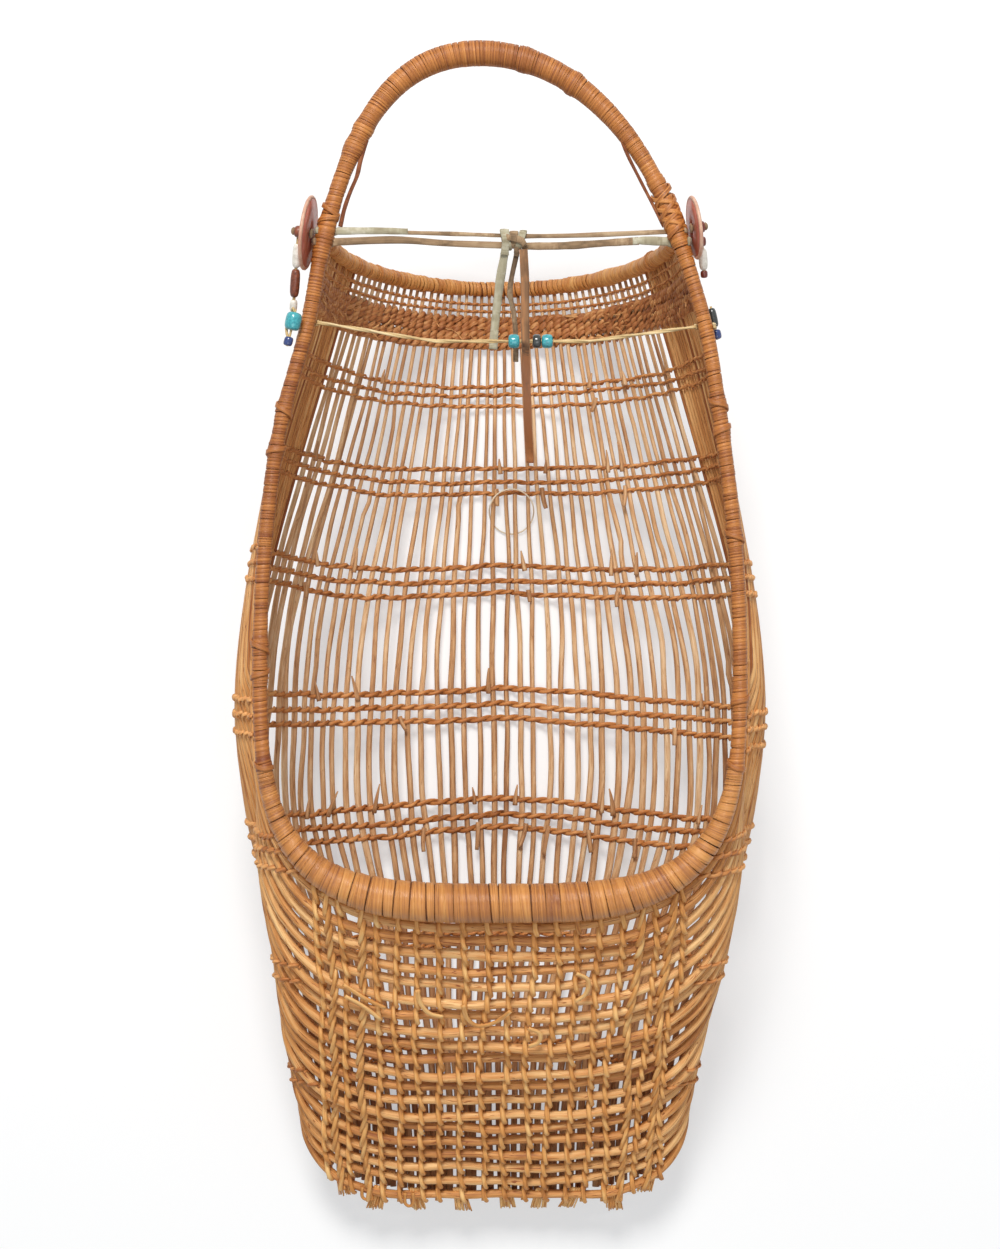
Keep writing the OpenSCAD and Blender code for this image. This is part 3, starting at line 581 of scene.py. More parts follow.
aged_hide_mat = hide("aged_hide", (92, 72, 52), (140, 114, 88), (172, 156, 126))
strip_mat = fibre("red_brown_hide", (84, 44, 24), (124, 70, 40), (160, 104, 66), 4, 3, rough=0.75)
string_mat = fibre("plant_fibre", (150, 116, 70), (204, 174, 122), (230, 208, 164), 8, 5)
thread_mat = fibre("pale_thread", (190, 170, 140), (222, 208, 182), (238, 228, 206), 8, 4)
turquoise_mat = glaze("turquoise_glaze", (34, 128, 140), (72, 172, 178), 0.25, coat=0.25)
black_mat = glaze("black_glaze", (28, 32, 32), (54, 60, 58), 0.2, coat=0.3)
blue_mat = glaze("blue_glaze", (22, 36, 84), (46, 70, 130), 0.25, coat=0.3)
dark_red_mat = glaze("dark_red_glaze", (84, 30, 20), (126, 56, 40), 0.3)
white_shell_mat = glaze("white_shell", (206, 198, 184), (240, 236, 226), 0.4, scale=500)
seed_mat = glaze("brown_seed", (84, 40, 26), (138, 74, 48), 0.4, scale=500)
disc_mat = glaze("red_shell", (150, 68, 52), (192, 108, 86), 0.4, coat=0.1, scale=120)
disc_rim_mat = glaze("shell_rim", (186, 128, 104), (214, 176, 150), 0.45, scale=300)

# The camera looks straight down on the open front
CAMERA_Y = 18.0
CAMERA_ABOVE_RIM = 1000.0
SEEN_AT_RIM = 624.5
SENSOR_W = 36.0
camera = bpy.data.objects.new("camera", bpy.data.cameras.new("camera"))
camera.data.sensor_width = SENSOR_W
camera.data.lens = SENSOR_W * CAMERA_ABOVE_RIM / SEEN_AT_RIM
camera.location = (0, CAMERA_Y * MM, (RIM_Z + CAMERA_ABOVE_RIM) * MM)
camera.data.clip_start = 0.01
bpy.context.scene.collection.objects.link(camera)
bpy.context.scene.camera = camera

# Tails of the thong, which are free cords
KNOT_R = 5.6
THONG_Z = RIM_Z + 1
KNOT = np.array([6.5, HEAD_Y - 2.4, THONG_Z])
TAIL_START = KNOT + [0, -KNOT_R - 3 * GAP, 0]

# A tail's first place counts from the start; the others are across, from the head end and below the rim
TAILS = {
    "thong_tail_pale": (
        [-4, 0.95, 0], [(0, 22, 5), (-2, 38, 10.5), (-3, 48, 13), (-3.5, 55, 14.5)],
        THONG_W, pale_hide_mat, "pale_hide", 6),
    "thong_tail_short": (
        [2, 0.7, -1], [(5, 26, 7), (7, 37, 11), (8, 50, 13.5), (8, 61, 17)],
        0.6 * THONG_W, aged_hide_mat, "pale_hide", 6),
    "thong_tail_long": (
        [5.2, 1.6, 1.5], [(12.5, 24, 0), (12.5, 40, 2), (12.7, 48, 3.4), (12.8, 53.5, 4.4), (13, 57, 10),
                          (13.4, 62, 30), (14.2, 67, 66), (15.2, 75, 108), (16.2, 85, 142),
                          (17, 94, HULL_DEPTH - 8), (17.4, 100.8, HULL_DEPTH - 4)],
        THONG_W, brown_hide_mat, "hide", 3)}
for seed, (name, (first, places, width, material, slot, per)) in enumerate(TAILS.items()):
    rng = draws(100 + seed)
    route = [TAIL_START + first] + [(x, HEAD_Y - from_head, RIM_Z - below) for x, from_head, below in places]
    path = line_through(route, per)
    t = shares(path)
    form = Form()
    up = np.cross([1, 0, 0], tangents(path))
    up = unit(up + xyz(wobble(t, rng, 0.25), 0, 0))
    wide = width / 2 * (1 + wobble(t, rng, 0.06))
    tone = 0.5 + wobble(t, rng, 0.1)
    # The long tail is paler where it goes down inside the basket: painted light against the shade there. The
    # short one is darker near the knot
    if material == brown_hide_mat:
        tone = tone + 0.4 * smooth((RIM_Z - 4 - path[:, 2]) / 12)
    if material == aged_hide_mat:
        tone = tone - 0.25 * (1 - smooth(t / 0.8))
    form.sweep(path, up, wide, THONG_T / 2, 8, tone, power=0.5)
    tail = form.piece(name, "strip", [material], slot)

# Back rods, tapered and a little wavy; each is kept as rows of x, y, z and radius
KINKS = 5
KINK = 0.7
back_rods = {}
for side, label in SIDES:
    form = Form()
    for i in range(1, HALF_RODS + 1):
        rng = draws(1000 + side * 40 + i)
        s = side * (i - 0.5) / HALF_RODS
        y = np.linspace(ROD_SEEN_TOP_Y, back_end_y(s), 72)
        path = back_point(s, y)
        t = shares(path)
        free = 0.35 + 0.65 * smooth(t * 3)
        path[:, 0] += wobble(t, rng, 0.75, (2.1, 4.6, 8.7)) * free
        kinks = np.concatenate([[0], np.sort(rng.uniform(0.12, 0.92, KINKS)), [1]])
        path[:, 0] += np.interp(t, kinks, np.pad(rng.normal(0, KINK, KINKS), 1))
        path[:, 2] += wobble(t, rng, 0.35, (2.6, 5.2, 9.3)) * free * 0.8
        radius = lerp(BACK_TIP_R, BACK_ROD_R, t) * lerp(TIP_SEEN_SHARE, 1, smooth(t / 0.5))
        radius = radius * rng.uniform(0.84, 1.04) * (1 + wobble(t, rng, 0.03, (7, 13, 21)))
        tone = np.clip(rng.normal(0.5, 0.1), 0.25, 0.8) + wobble(t, rng, 0.05)
        # Towards the toe the back rods are darker: painted shade down in the deep toe
        form.sweep(path, UP_Z, radius, radius, 8, tone - 0.22 * smooth((BAR_Y + 10 - y) / 60))
        back_rods[side * i] = np.column_stack([path, radius])
    form.piece(f"back_rods_{label}", "shoots", [rod_mat], "rods")

# Toe rods, each bent round the toe and up both sides, kept as two halves from the middle
toe_rods = {}
for i in range(1, TOE_RODS + 1):
    rng = draws(2000 + i)
    half = toe_rod_half((i - 1) / (TOE_RODS - 1))
    radius = toe_rod_radius(half)
    path = np.concatenate([half[:0:-1] * [-1, 1, 1], half])
    radius = np.concatenate([radius[:0:-1], radius])
    t = shares(path)
    loose = smooth((radius - SIDE_ROD_R) / (TOE_ROD_R - SIDE_ROD_R))
    path[:, 1] += (wobble(t, rng, 0.9, (4, 9, 17)) + np.clip(rng.normal(0, 0.8), -1.1, 1.1)) * loose
    path[:, 2] += wobble(t, rng, 0.6, (4, 9, 17)) * loose
    radius = radius * rng.uniform(0.9, 1.04) * (1 + wobble(t, rng, 0.03, (9, 23, 41)))
    # The two rods next to the bar are darker: painted shadow of the bar
    tone = np.clip(rng.normal(0.56, 0.11), 0.32, 0.82) + wobble(t, rng, 0.06) - (0.12 if i < 3 else 0)
    # Up the sides every other rod is darker and the rest a little lighter: painted shade for the dark lines
    # between rods
    tone = tone - (0.06 + 0.1 * (-1) ** i) * smooth((path[:, 1] - WIDE_Y + 60) / 90)
    form = Form()
    form.sweep(path, UP_Z, radius, radius, 10, tone)
    form.piece(f"toe_rod_{i:02d}", "shoot", [toe_rod_mat], "rods")
    rod = np.column_stack([path, radius])
    middle = len(half) - 1
    toe_rods[i] = {-1: rod[middle::-1], 1: rod[middle:]}


# Twining: strands that pass in front of and behind each rod in turn
def twine(form, points, radii, normals, way, width, thick, rng, strands=2, lean=1, steps=6, tone=0.5,
          side=0.4, bend=0.6):
    m = len(points)
    u = np.arange(round(-0.5 * steps), round((m - 0.5) * steps) + 1) / steps
    base, out = at(points, u), unit(at(normals, u))
    reach = np.maximum(at(radii, u), 0.5) + 0.5 * thick
    count = np.arange(-1, m + 1)
    for k in range(strands):
        phase = 2 * math.pi * (u + k) / strands
        c, s = np.cos(phase), np.sin(phase)
        if strands > 2:
            c = (c + 0.25) / 1.25
        c = squared(c, bend)
        path = base + out * (reach * c)[:, None] + way * (lean * side * width * s)[:, None]
        knots = rng.normal(0, 0.07, m + 2)
        shade = np.interp(u, np.arange(m), np.broadcast_to(tone, (m,))) + rng.normal(0, 0.05)
        shade = shade + np.interp(u, count, knots)
        swell = 1 + np.interp(u, count, rng.normal(0, 0.07, m + 2))
        form.sweep(path, out, width / 2 * swell, thick / 2 * swell, 8, shade)


# A row of weft takes in a toe rod unless the rod has turned too far round the toe there
ROUND_SHARE = 0.8


def row_places(y, rng, wave=1.0, spread=0.0, stray=None):
    """Where a weft row meets the rods, from the left rail to the right one."""
    found = []
    for side in (-1, 1):
        row = [back_rods[side * i] for i in range(1, HALF_RODS + 1)]
        for i in range(TOE_RODS, 0, -1):
            k = (i - 1) / (TOE_RODS - 1)
            if row_turn_y(k) - y < ROUND_SHARE * row_turn_len(k):
                row.append(toe_rods[i][side])
        found = row[::-1] if side < 0 else found + row
    ys = y + wobble(shares(found), rng, wave, (1.2, 2.7, 5.3)) + rng.normal(0, 0.35, len(found)) * spread
    if stray is not None:
        ys = ys + np.interp([at_y(rod, y)[0] for rod in found], WAVE_X, stray)
    met = np.array([at_y(rod, row_y) for rod, row_y in zip(found, ys)])
    points = met[:, :3]
    return points, met[:, 3], unit(np.cross(np.gradient(points, axis=0), UP_Y))


def weft_row(form, y, rng, width=WEFT_W, thick=WEFT_T, tone=0.5, wave=1.0, spread=1.0, side=0.4, stray=None):
    """A twined row, paler outside the rails."""
    points, radii, normals = row_places(y, rng, wave, spread, stray)
    outside = smooth((np.abs(points[:, 0]) - rail_w(np.maximum(y, BAR_Y)) - 1) / 6)
    twine(form, points, radii, normals, UP_Y, width, thick, rng, tone=tone + 0.3 * outside, side=side)
    return points, radii, normals


# Cut ends that stand out of the bands on the inside: place from left to right, and reach towards the head
CUT_ENDS = [
    [(-68, 5), (53, 6), (56, -5), (72, 5)],
    [(-103, 8), (-2, -7), (0, 6), (25, -9), (27, 5), (63, 10), (71, 14), (73, -9)],
    [(-104, 8), (-110, -6), (-84, 11), (14, 9), (17, -4), (65, 12), (68, -6), (79, 10)],
    [(-104, 9), (-83, 11), (-58, -5), (-7, 12), (100, -7), (114, 6), (117, 10)],
    [(-107, 9), (-95, 12), (-71, 14), (-45, -11), (-15, 7), (-13, -13), (9, 9), (15, -11), (28, -14),
     (52, -10), (59, 11), (65, 13), (76, -8), (96, -8), (110, 8)]]


def splice_ends(form, row, ends, rng):
    points, radii, normals = row
    t = np.linspace(0, 1, 8)
    for x, reach in ends:
        j = int(np.argmin(np.abs(points[:, 0] - x)))
        start = points[j] + normals[j] * (radii[j] + 1.3) + [x - points[j, 0], 0, 0]
        way = unit(np.array([rng.normal(0, 0.14), np.sign(reach), 0]) + normals[j] * rng.uniform(0.04, 0.2))
        path = start + way * lerp(-3.0, abs(reach), t)[:, None]
        path[:, 0] += t ** 2 * rng.normal(0, 1.0)
        thickness = (1.5 - (0.25 if reach < 0 else 1.1) * t ** 1.5) * rng.uniform(0.8, 1.05)
        form.sweep(path, UP_Z, thickness, thickness, 8, rng.uniform(0.3, 0.55), 1)


for b, y in enumerate(BAND_Y):
    form = Form()
    for r in (-1, 0, 1):
        rng = draws(3000 + 10 * b + r)
        row = weft_row(form, y + r * BAND_PITCH[b], rng, BAND_WEFT[b], 0.68 * BAND_WEFT[b], wave=0.6,
                       side=0.42, stray=BAND_WAVE[b])
        splice_ends(form, row, [e for e in CUT_ENDS[b] if np.sign(e[1]) == r], rng)
    form.piece(f"weft_band_{b + 1}", "twining", [weft_mat, rod_mat], "weft")
for b, y in enumerate(TOE_BAND_Y):
    form = Form()
    for r in (-0.5, 0.5):
        weft_row(form, y + r * ROW_PITCH, draws(3100 + 10 * b + int(2 * r)))
    form.piece(f"toe_weft_band_{b + 1}", "twining", [weft_mat], "weft")
form = Form()
for b, y in enumerate(HEAD_ROW_Y):
    weft_row(form, y, draws(3200 + b), width=1.2, thick=0.9, wave=0.3, spread=0.3, side=0.35)
form.piece("head_open_rows", "twining", [weft_mat], "weft")

# The close band near the head, with loose fibres on it
HEAD_BAND_ROWS = 6
LOOSE_FIBRES = 80
form = Form()
rng = draws(3299)
for b in range(HEAD_BAND_ROWS):
    y = HEAD_BAND_Y + (b / (HEAD_BAND_ROWS - 1) - 0.5) * (HEAD_BAND_W - 2)
    tone = rng.uniform(0.44, 0.62)
    weft_row(form, y, draws(3300 + b), width=2.8, thick=1.6, wave=0.4, side=0.5, tone=tone)
points, radii, normals = row_places(HEAD_BAND_Y, draws(3340))
rng = draws(3341)
for _ in range(LOOSE_FIBRES):
    j = rng.randint(3, len(points) - 3)
    begin = points[j] + normals[j] * (radii[j] + rng.uniform(1.4, 2.2)) + UP_Y * rng.uniform(-7.5, 7.5)
    way = unit(points[j + 1] - points[j - 1]) + UP_Y * rng.normal(0, 0.5)
    way = unit(way + normals[j] * rng.uniform(-0.1, 0.3))
    route = begin + way * np.linspace(-1, 1, 4)[:, None] * rng.uniform(2, 4.5)
    path = line_through(route + rng.normal(0, 0.3, (4, 3)), 3)
    form.sweep(path, normals[j], rng.uniform(0.25, 0.6), 0.3, 6, rng.uniform(0.45, 1.0))
form.piece("head_band", "twining", [band_mat], "dark_weft")


# Weft columns down the front of the toe
COLUMN_W = 2.6
BRAID_W = 2.5
COLUMN_T = 2.0


def column_places(x):
    """Where a column at x meets the toe rods, from the bar down."""
    found = []
    for i in range(1, TOE_RODS + 1):
        rod = toe_rods[i][1 if x > 0 else -1]
        aside = np.abs(rod[:, 0])
        last = int(np.argmax(aside > abs(x))) + 1
        found.append([np.interp(abs(x), aside[:last], column[:last]) for column in rod.T])
    found = np.array(found)
    found[:, 0] = x
    points = found[:, :3]
    return points, found[:, 3], unit(np.cross(np.gradient(points, axis=0), [1, 0, 0]))


plain, braided = Form(), Form()
for i in range(1, COLUMNS + 1):
    rng = draws(4000 + i)
    s = 2 * (i - 1) / (COLUMNS - 1) - 1
    x = COLUMN_HALF_W * s * (1 + COLUMN_SPREAD * (1 - s * s))
    points, radii, normals = column_places(x)
    points[:, 0] += wobble(shares(points), rng, 1.1, (1.1, 2.3, 4.9))
    way = np.array([1.0, 0, 0])
    if min(i - 1, COLUMNS - i) in (1, 3):
        twine(braided, points, radii, normals, way, BRAID_W, COLUMN_T, rng, strands=3, lean=-1, steps=8,
              tone=0.56, side=0.45)
    else:
        twine(plain, points, radii, normals, way, COLUMN_W, COLUMN_T, rng, steps=8, tone=0.56, side=0.34,
              bend=0.85)
plain.piece("toe_columns_plain", "twining", [column_mat], "weft")
braided.piece("toe_columns_braided", "twining", [column_mat], "weft")

# Frayed cut ends below the lowest toe rod
TUFT_X = [-86, -64, -45, -20, 6, 27, 46, 66, 88]
TUFT_FIBRES = 17
TUFT_HALF_W = 3.1
form = Form()
for n, x in enumerate(TUFT_X):
    rng = draws(4100 + n)
    points, radii, normals = column_places(x)
    out, way = normals[-1], unit(points[-1] - points[-2])
    tilt = rng.normal(0, 0.16)
    for across in np.linspace(-1, 1, TUFT_FIBRES):
        lean = np.array([tilt + 0.07 * across + rng.normal(0, 0.012), 0, 0]) + out * rng.normal(0, 0.03)
        begin = points[-1] - out * 1.5 + [TUFT_HALF_W * across, 0, 0]
        begin = begin + out * rng.uniform(0.4, 1.4) - way * 4.5
        end = begin + unit(way + lean) * rng.uniform(16.4, 17.4)
        path = line_through([begin, lerp(begin, end, 0.5) + rng.normal(0, 0.08, 3), end], 3)
        form.sweep(path, out, rng.uniform(0.32, 0.48), 0.45, 6, rng.uniform(0.45, 0.95))

# Loose weft ends on the front of the toe, each through places given as across and rod number
LOOSE_ENDS = [
    [(-80, 5.6), (-69, 6.0), (-58, 6.3)],
    [(-79, 6.2), (-69, 6.5), (-60, 7.0)],
    [(-42, 5.0), (-40, 5.7), (-35, 6.3), (-28, 6.6)],
    [(-18, 5.6), (-15, 6.6), (-9, 7.2), (0, 6.9), (7, 6.0)],
    [(39, 3.9), (45, 4.4), (45, 5.2), (40, 5.6)],
    [(17, 7.2), (23, 7.6), (23, 8.2), (18, 8.4)]]
LOOSE_LIFT = 5.4
for n, places in enumerate(LOOSE_ENDS):
    route = []
    for x, number in places:
        points, radii, normals = column_places(x + 0.3)
        route.append(at(points, [number - 1])[0] + LOOSE_LIFT * unit(at(normals, [number - 1]))[0])
    path = line_through(route, 6)
    form.sweep(path, np.array([0, -0.6, 0.8]), 1.25, 0.55, 8, 0.6 + 0.05 * (n % 3), power=0.6)

# Two weft ends that turn back up below the lowest rod
for x, drop in ((-48, 6.5), (-72, 5.5)):
    points, radii, normals = column_places(x)
    way = unit(points[-1] - points[-2])
    front = points[-1] + normals[-1] * 2.6
    route = [front + [aside, 0, 0] + way * down
             for aside, down in ((-2.2, -4), (-2.3, 0.6 * drop), (0, drop), (2.3, 0.6 * drop), (2.2, -4))]
    form.sweep(line_through(route, 6), normals[-1], 1.0, 0.7, 8, 0.5)
form.piece(None, "toe_cut_ends", [column_mat], "weft")


# Root strip wound round the rim and the head rod, each turn lapping a little over the one before
def spokes(spine, place, up, a):
    """Ways along a spine and out of it, at angles that count from its side."""
    way = unit(along(tangents(spine), lengths(spine), place))
    side = unit(np.cross(up, way))
    return way, np.cos(a)[:, None] * side + np.sin(a)[:, None] * np.cross(way, side)


def wrap(form, spine, radius, up, pitch, thick, seed, lumps=(), steps=14, open_share=0.06, open_cover=0.92,
         lap=0.05, tone=0.5, vary=0.04, rough=0.06):
    rng = draws(seed)
    d = lengths(spine)
    turns, s = [0.0], 0.0
    while s < d[-1]:
        s += pitch(s / d[-1]) * rng.uniform(0.55, 1.45)
        turns.append(s)
    turns = np.array(turns) * d[-1] / s
    count = np.arange(len(turns))
    u = np.arange((len(turns) - 1) * steps + 1) / steps
    place = np.interp(u, count, turns)
    step = np.interp(u, count, np.append(np.diff(turns), turns[-1] - turns[-2]))
    cover = np.interp(u, count, np.where(rng.uniform(size=len(turns)) < open_share, open_cover, 1.05))
    way, out = spokes(spine, place, up, 2 * math.pi * u)
    r = along(radius, d, place) + np.interp(u, count, rng.normal(0, rough, len(turns)))
    for where, height, reach in lumps:
        r = r + height * hump(place, where * d[-1], reach)
    path = along(spine, d, place) + (r - thick / 2)[:, None] * out
    tone = tone + np.interp(u, count, rng.normal(0, vary, len(turns))) + wobble(place / d[-1], rng, 0.03)
    form.sweep(path, unit(out + lap * way), step * cover / 2, thick / 2, tone=tone, flat=True)


def crossing(form, spine, radius, where, reach, tone, begin=-30, end=210):
    """A strip laid slantwise across the other turns, with its ends hidden below."""
    d = lengths(spine)
    t = np.linspace(0, 1, 25)
    place = np.clip(where * d[-1] + reach * (t - 0.5), 0, d[-1])
    out = spokes(spine, place, UP_Z, np.radians(lerp(begin, end, t)))[1]
    path = along(spine, d, place) + (along(radius, d, place) + 0.5 * np.sin(math.pi * t))[:, None] * out
    form.sweep(path, out, 1.15, 0.5, tone=tone, flat=True)


# Thickness of the root strip on handle and bar
STRIP_T = 0.6


# Distance between the strip's turns at a share of the length
def handle_pitch(s):
    return lerp(1.4, 2.4, smooth((abs(2 * s - 1) - 0.7) / 0.2))


def rail_pitch(s):
    return lerp(2.6, 1.7, smooth(s / 0.3))


def bar_pitch(s):
    return lerp(4.2, 2.6, smooth((abs(2 * s - 1) - 0.5) / 0.5))


def head_pitch(s):
    return 3.1


# The handle; lumps are share of the length, height and reach
HANDLE_LUMPS = [(0.0, 0.9, 14), (0.17, 0.9, 5), (0.21, 0.7, 3), (0.66, 0.8, 3), (0.56, 0.6, 3), (0.9, 0.7, 3),
                (0.955, 0.9, 8), (1.0, 1.2, 15)]
turn = np.linspace(0, 1, 120)
handle_spine = np.concatenate([handle_point(-1, turn), handle_point(1, turn)[-2::-1]])
handle_r = lerp(RAIL_SEEN_R, HANDLE_R, smooth(np.concatenate([turn, turn[-2::-1]])))
form = Form()
wrap(form, handle_spine, handle_r, UP_Z, handle_pitch, STRIP_T, 5001, HANDLE_LUMPS, tone=0.36, vary=0.03)
for where, reach, tone, *angles in (
        (0.925, 10, 0.4), (0.938, -12, 0.5), (0.95, 13, 0.34), (0.958, -10, 0.55, -30, 200),
        (0.968, 11, 0.42, -20, 210), (0.978, -13, 0.5), (0.99, 10, 0.36)):
    crossing(form, handle_spine, handle_r + 1.1, where, reach, tone, *angles)
for where, reach, tone in ((0.03, 8, 0.42), (0.045, -6, 0.34)):
    crossing(form, handle_spine, handle_r + 0.5, where, reach, tone)
form.piece("handle_binding", "strip", [wrap_mat], "binding")

# The rails, with lumps where strips begin and end; the bar's binding begins at an angle round the front
BAR_END = 66
RAIL_LUMP_Y = {-1: [-54, -7, 7, 105, 125], 1: [-60, -20, 62, 115, 128]}
for side, label in SIDES:
    form = Form()
    low_a = np.radians(np.linspace(BAR_END, 90, 30))
    high = rail_point(side, np.linspace(WIDE_Y, HEAD_Y + 1, 90)[1:])
    spine = np.concatenate([rim_front(low_a) * [side, 1, 1], high])
    radius = np.concatenate([front_radius(low_a), np.full(len(high), RAIL_SEEN_R)]) - 0.1
    places = np.interp(RAIL_LUMP_Y[side], spine[:, 1], lengths(spine) / lengths(spine)[-1])
    lumps = [(where, 0.7, 4) for where in places] + [(1.0, 1.1, 14)]
    wrap(form, spine, radius, UP_Z, rail_pitch, 0.65, 5010 + side, lumps, tone=0.33 + 0.03 * side)
    for n, where in enumerate(places):
        crossing(form, spine, radius + 0.45, where, 5 if n % 2 else -7, 0.3)
    form.piece(f"{label}_rail_binding", "strip", [wrap_mat], "binding")

# The front bar
a = np.radians(np.linspace(-BAR_END, BAR_END, 160))
spine = rim_front(np.abs(a)) * xyz(np.sign(a), 1, 1)
form = Form()
wrap(form, spine, front_radius(a) + 0.4, UP_Z, bar_pitch, STRIP_T, 5020, steps=18, open_share=0.1,
     open_cover=0.96, lap=0.04, tone=0.41, vary=0.05)
form.piece("front_bar_binding", "strip", [bar_mat], "binding")

# The rim rod itself, one closed hoop below the strips
a = np.radians(np.linspace(0, 90, 80))
rail_y = np.linspace(WIDE_Y, HEAD_Y, 60)[1:]
turn = np.linspace(0, 1, 60)[1:]
right, left = ([rim_front(a) * [side, 1, 1], rail_point(side, rail_y), handle_point(side, turn)]
               for side in (1, -1))
hoop = np.concatenate([*right, np.concatenate(left)[-2:0:-1]])
core = np.concatenate([front_radius(a), 0 * rail_y + RAIL_SEEN_R, lerp(RAIL_SEEN_R, HANDLE_R, smooth(turn))])
core = np.concatenate([core, core[-2:0:-1]]) - STRIP_T
form = Form()
form.sweep(hoop, UP_Z, core, core, 10, 0.5, closed=True)
form.piece("rim_hoop", "core", [core_mat], "rods")

# The rod at the head end
HEAD_RIM_LIFT = max(0, HEAD_RIM_R + 3 * GAP - ROD_Z)
HEAD_RIM_SHARE = 1 - (RAIL_R + THONG_T + HEAD_RIM_LIFT + 4 * GAP) / SIDE_ARC
HEAD_LUMPS = [(0.2, 0.5, 5), (0.36, 0.4, 6), (0.52, 0.5, 4), (0.7, 0.6, 5), (0.84, 0.5, 4)]
head_spine = section(HEAD_Y, np.linspace(-HEAD_RIM_SHARE, HEAD_RIM_SHARE, 140)) + [0, 0, HEAD_RIM_LIFT]
form = Form()
wrap(form, head_spine, np.full(len(head_spine), HEAD_RIM_SEEN_R), UP_Y, head_pitch, 1.0, 5030, HEAD_LUMPS,
     open_share=0.6, open_cover=0.74, tone=0.62, vary=0.11, rough=0.28)
form.piece("head_rim_binding", "strip", [wrap_mat], "binding")
core = HEAD_RIM_SEEN_R - STRIP_T
form = Form()
form.sweep(head_spine, UP_Y, core, core, 10, 0.5)
form.piece("head_rim", "core", [core_mat], "rods")


# Turned beads: outlines of radius and distance along the string
BARREL = [(0.55, 0), (0.8, 0.05), (0.94, 0.16), (1, 0.34), (1, 0.66), (0.94, 0.84), (0.8, 0.95), (0.55, 1)]


def barrel(start, length, r, hole=0.0):
    outline = [(r * a, start + length * b) for a, b in BARREL]
    if hole:
        outline = [(hole, start)] + [(max(a, hole + 0.1), b) for a, b in outline] + [(hole, start + length)]
    return outline


# Ties round the rails
LOOP_R = RAIL_SEEN_R + 2 * GAP + THONG_T / 2


def rail_loop(side, y):
    """Round the underside of a rail, from its inner side to a little above the level on its outer side."""
    a = np.radians(np.linspace(195, 405, 22))
    spoke = xyz(side * np.cos(a), 0, np.sin(a))
    return rail_point(side, y) + LOOP_R * spoke, -spoke


def strap(form, rng, route, width, thick=THONG_T, mat=0, side=0, y=0.0, tone=0.5, twist=0.12):
    """A flat strip along a route given from the thong's middle; with a side it goes on round that rail."""
    path = line_through(np.array(route) + [0, HEAD_Y, THONG_Z], 10)
    up = np.broadcast_to(UP_Z, path.shape)
    if side:
        loop, inward = rail_loop(side, y)
        path = np.concatenate([path, loop])
        up = np.concatenate([up, inward])
    t = shares(path)
    up = unit(up + xyz(0, wobble(t, rng, twist), 0))
    wide = width / 2 * (1 + wobble(t, rng, 0.07))
    form.sweep(path, up, wide, thick / 2, 8, tone + wobble(t, rng, 0.12), mat, power=0.55)


# The thong tied across the head end: two strands to each rail, in parts brown and pale
THIN_T = 1.0
UPPER_Y = HEAD_Y + 2.0
LOWER_Y = HEAD_Y - 3.6
upper_x, lower_x = (rail_w(y) - LOOP_R - 1.2 for y in (UPPER_Y, LOWER_Y))
rng = draws(6000)
form = Form()
strap(form, rng, [(2, -0.5, 0.7), (-20, 0.3, 0.5), (-50, 1.2, 0.2)], 2.1, THIN_T, tone=0.62)
strap(form, rng, [(-46, 1.5, 0.9), (-62, 1.9, 0.8), (-upper_x, 2, -0.2)], 3.5, THONG_T, 1, -1, UPPER_Y,
      twist=0.05)
strap(form, rng, [(2, -5.2, 0), (-26, -4.2, 0), (-52, -2.4, -0.6), (-lower_x, -3.2, -1.4)], 3.6, THONG_T,
      0, -1, LOWER_Y)
strap(form, rng, [(11, -0.8, 0.6), (40, -0.3, 0.4), (upper_x, 1.6, -0.4)], 2.4, THIN_T, 0, 1, UPPER_Y,
      tone=0.6)
strap(form, rng, [(11, -5.6, 0), (32, -5.4, 0), (56, -3.8, -0.2), (69, -2.9, -0.4)], 3.8)
strap(form, rng, [(66, -3, -0.2), (72, -2.8, -0.4), (lower_x, -3, -1.4)], 4.2, THONG_T, 1, 1, LOWER_Y)
form.piece("thong_strands", "strips", [hide_mat, pale_hide_mat], "hide")


# The knot: strips folded round both strands, and strips that lead into the tails
def fold(form, x, lean, reach_y, reach_z, width, mat, tone=0.5):
    a = np.linspace(0, 2 * math.pi, 41)[:-1]
    c, s = np.cos(a), np.sin(a)
    path = xyz(x + lean * c, KNOT[1] + reach_y * c, KNOT[2] + reach_z * s)
    up = unit(xyz(0, c / reach_y, s / reach_z))
    tone = tone + 0.1 * np.sin(3 * a + x)
    form.sweep(path, up, width / 2, THONG_T / 2, 8, tone, mat, closed=True, power=0.55)


form = Form()
fold(form, 2.9, -1.0, 4.9, 3.0, 4.2, 1)
fold(form, 10.4, 1.3, 4.3, 2.7, 3.8, 1, tone=0.42)
fold(form, 6.6, 0.4, 3.9, 2.5, 4.6, 0)
strap(form, rng, [(1.4, -1, 2.6), (5, -2.2, 3.8), (10, -3.2, 3.6), (12.4, -5.6, 2.4)], 3.4)
strap(form, rng, [(2.6, 2.2, 2.2), (3, -2.6, 3.4), (2.6, -7, 1.8), (2.3, -10, 0.5)], 4.0, mat=1)
strap(form, rng, [(7.2, -1.6, 2.4), (8.2, -6, 1.4), (8.2, -10.5, -1)], 2.8, tone=0.25)
form.piece("thong_knot", "folds", [hide_mat, pale_hide_mat], "hide")

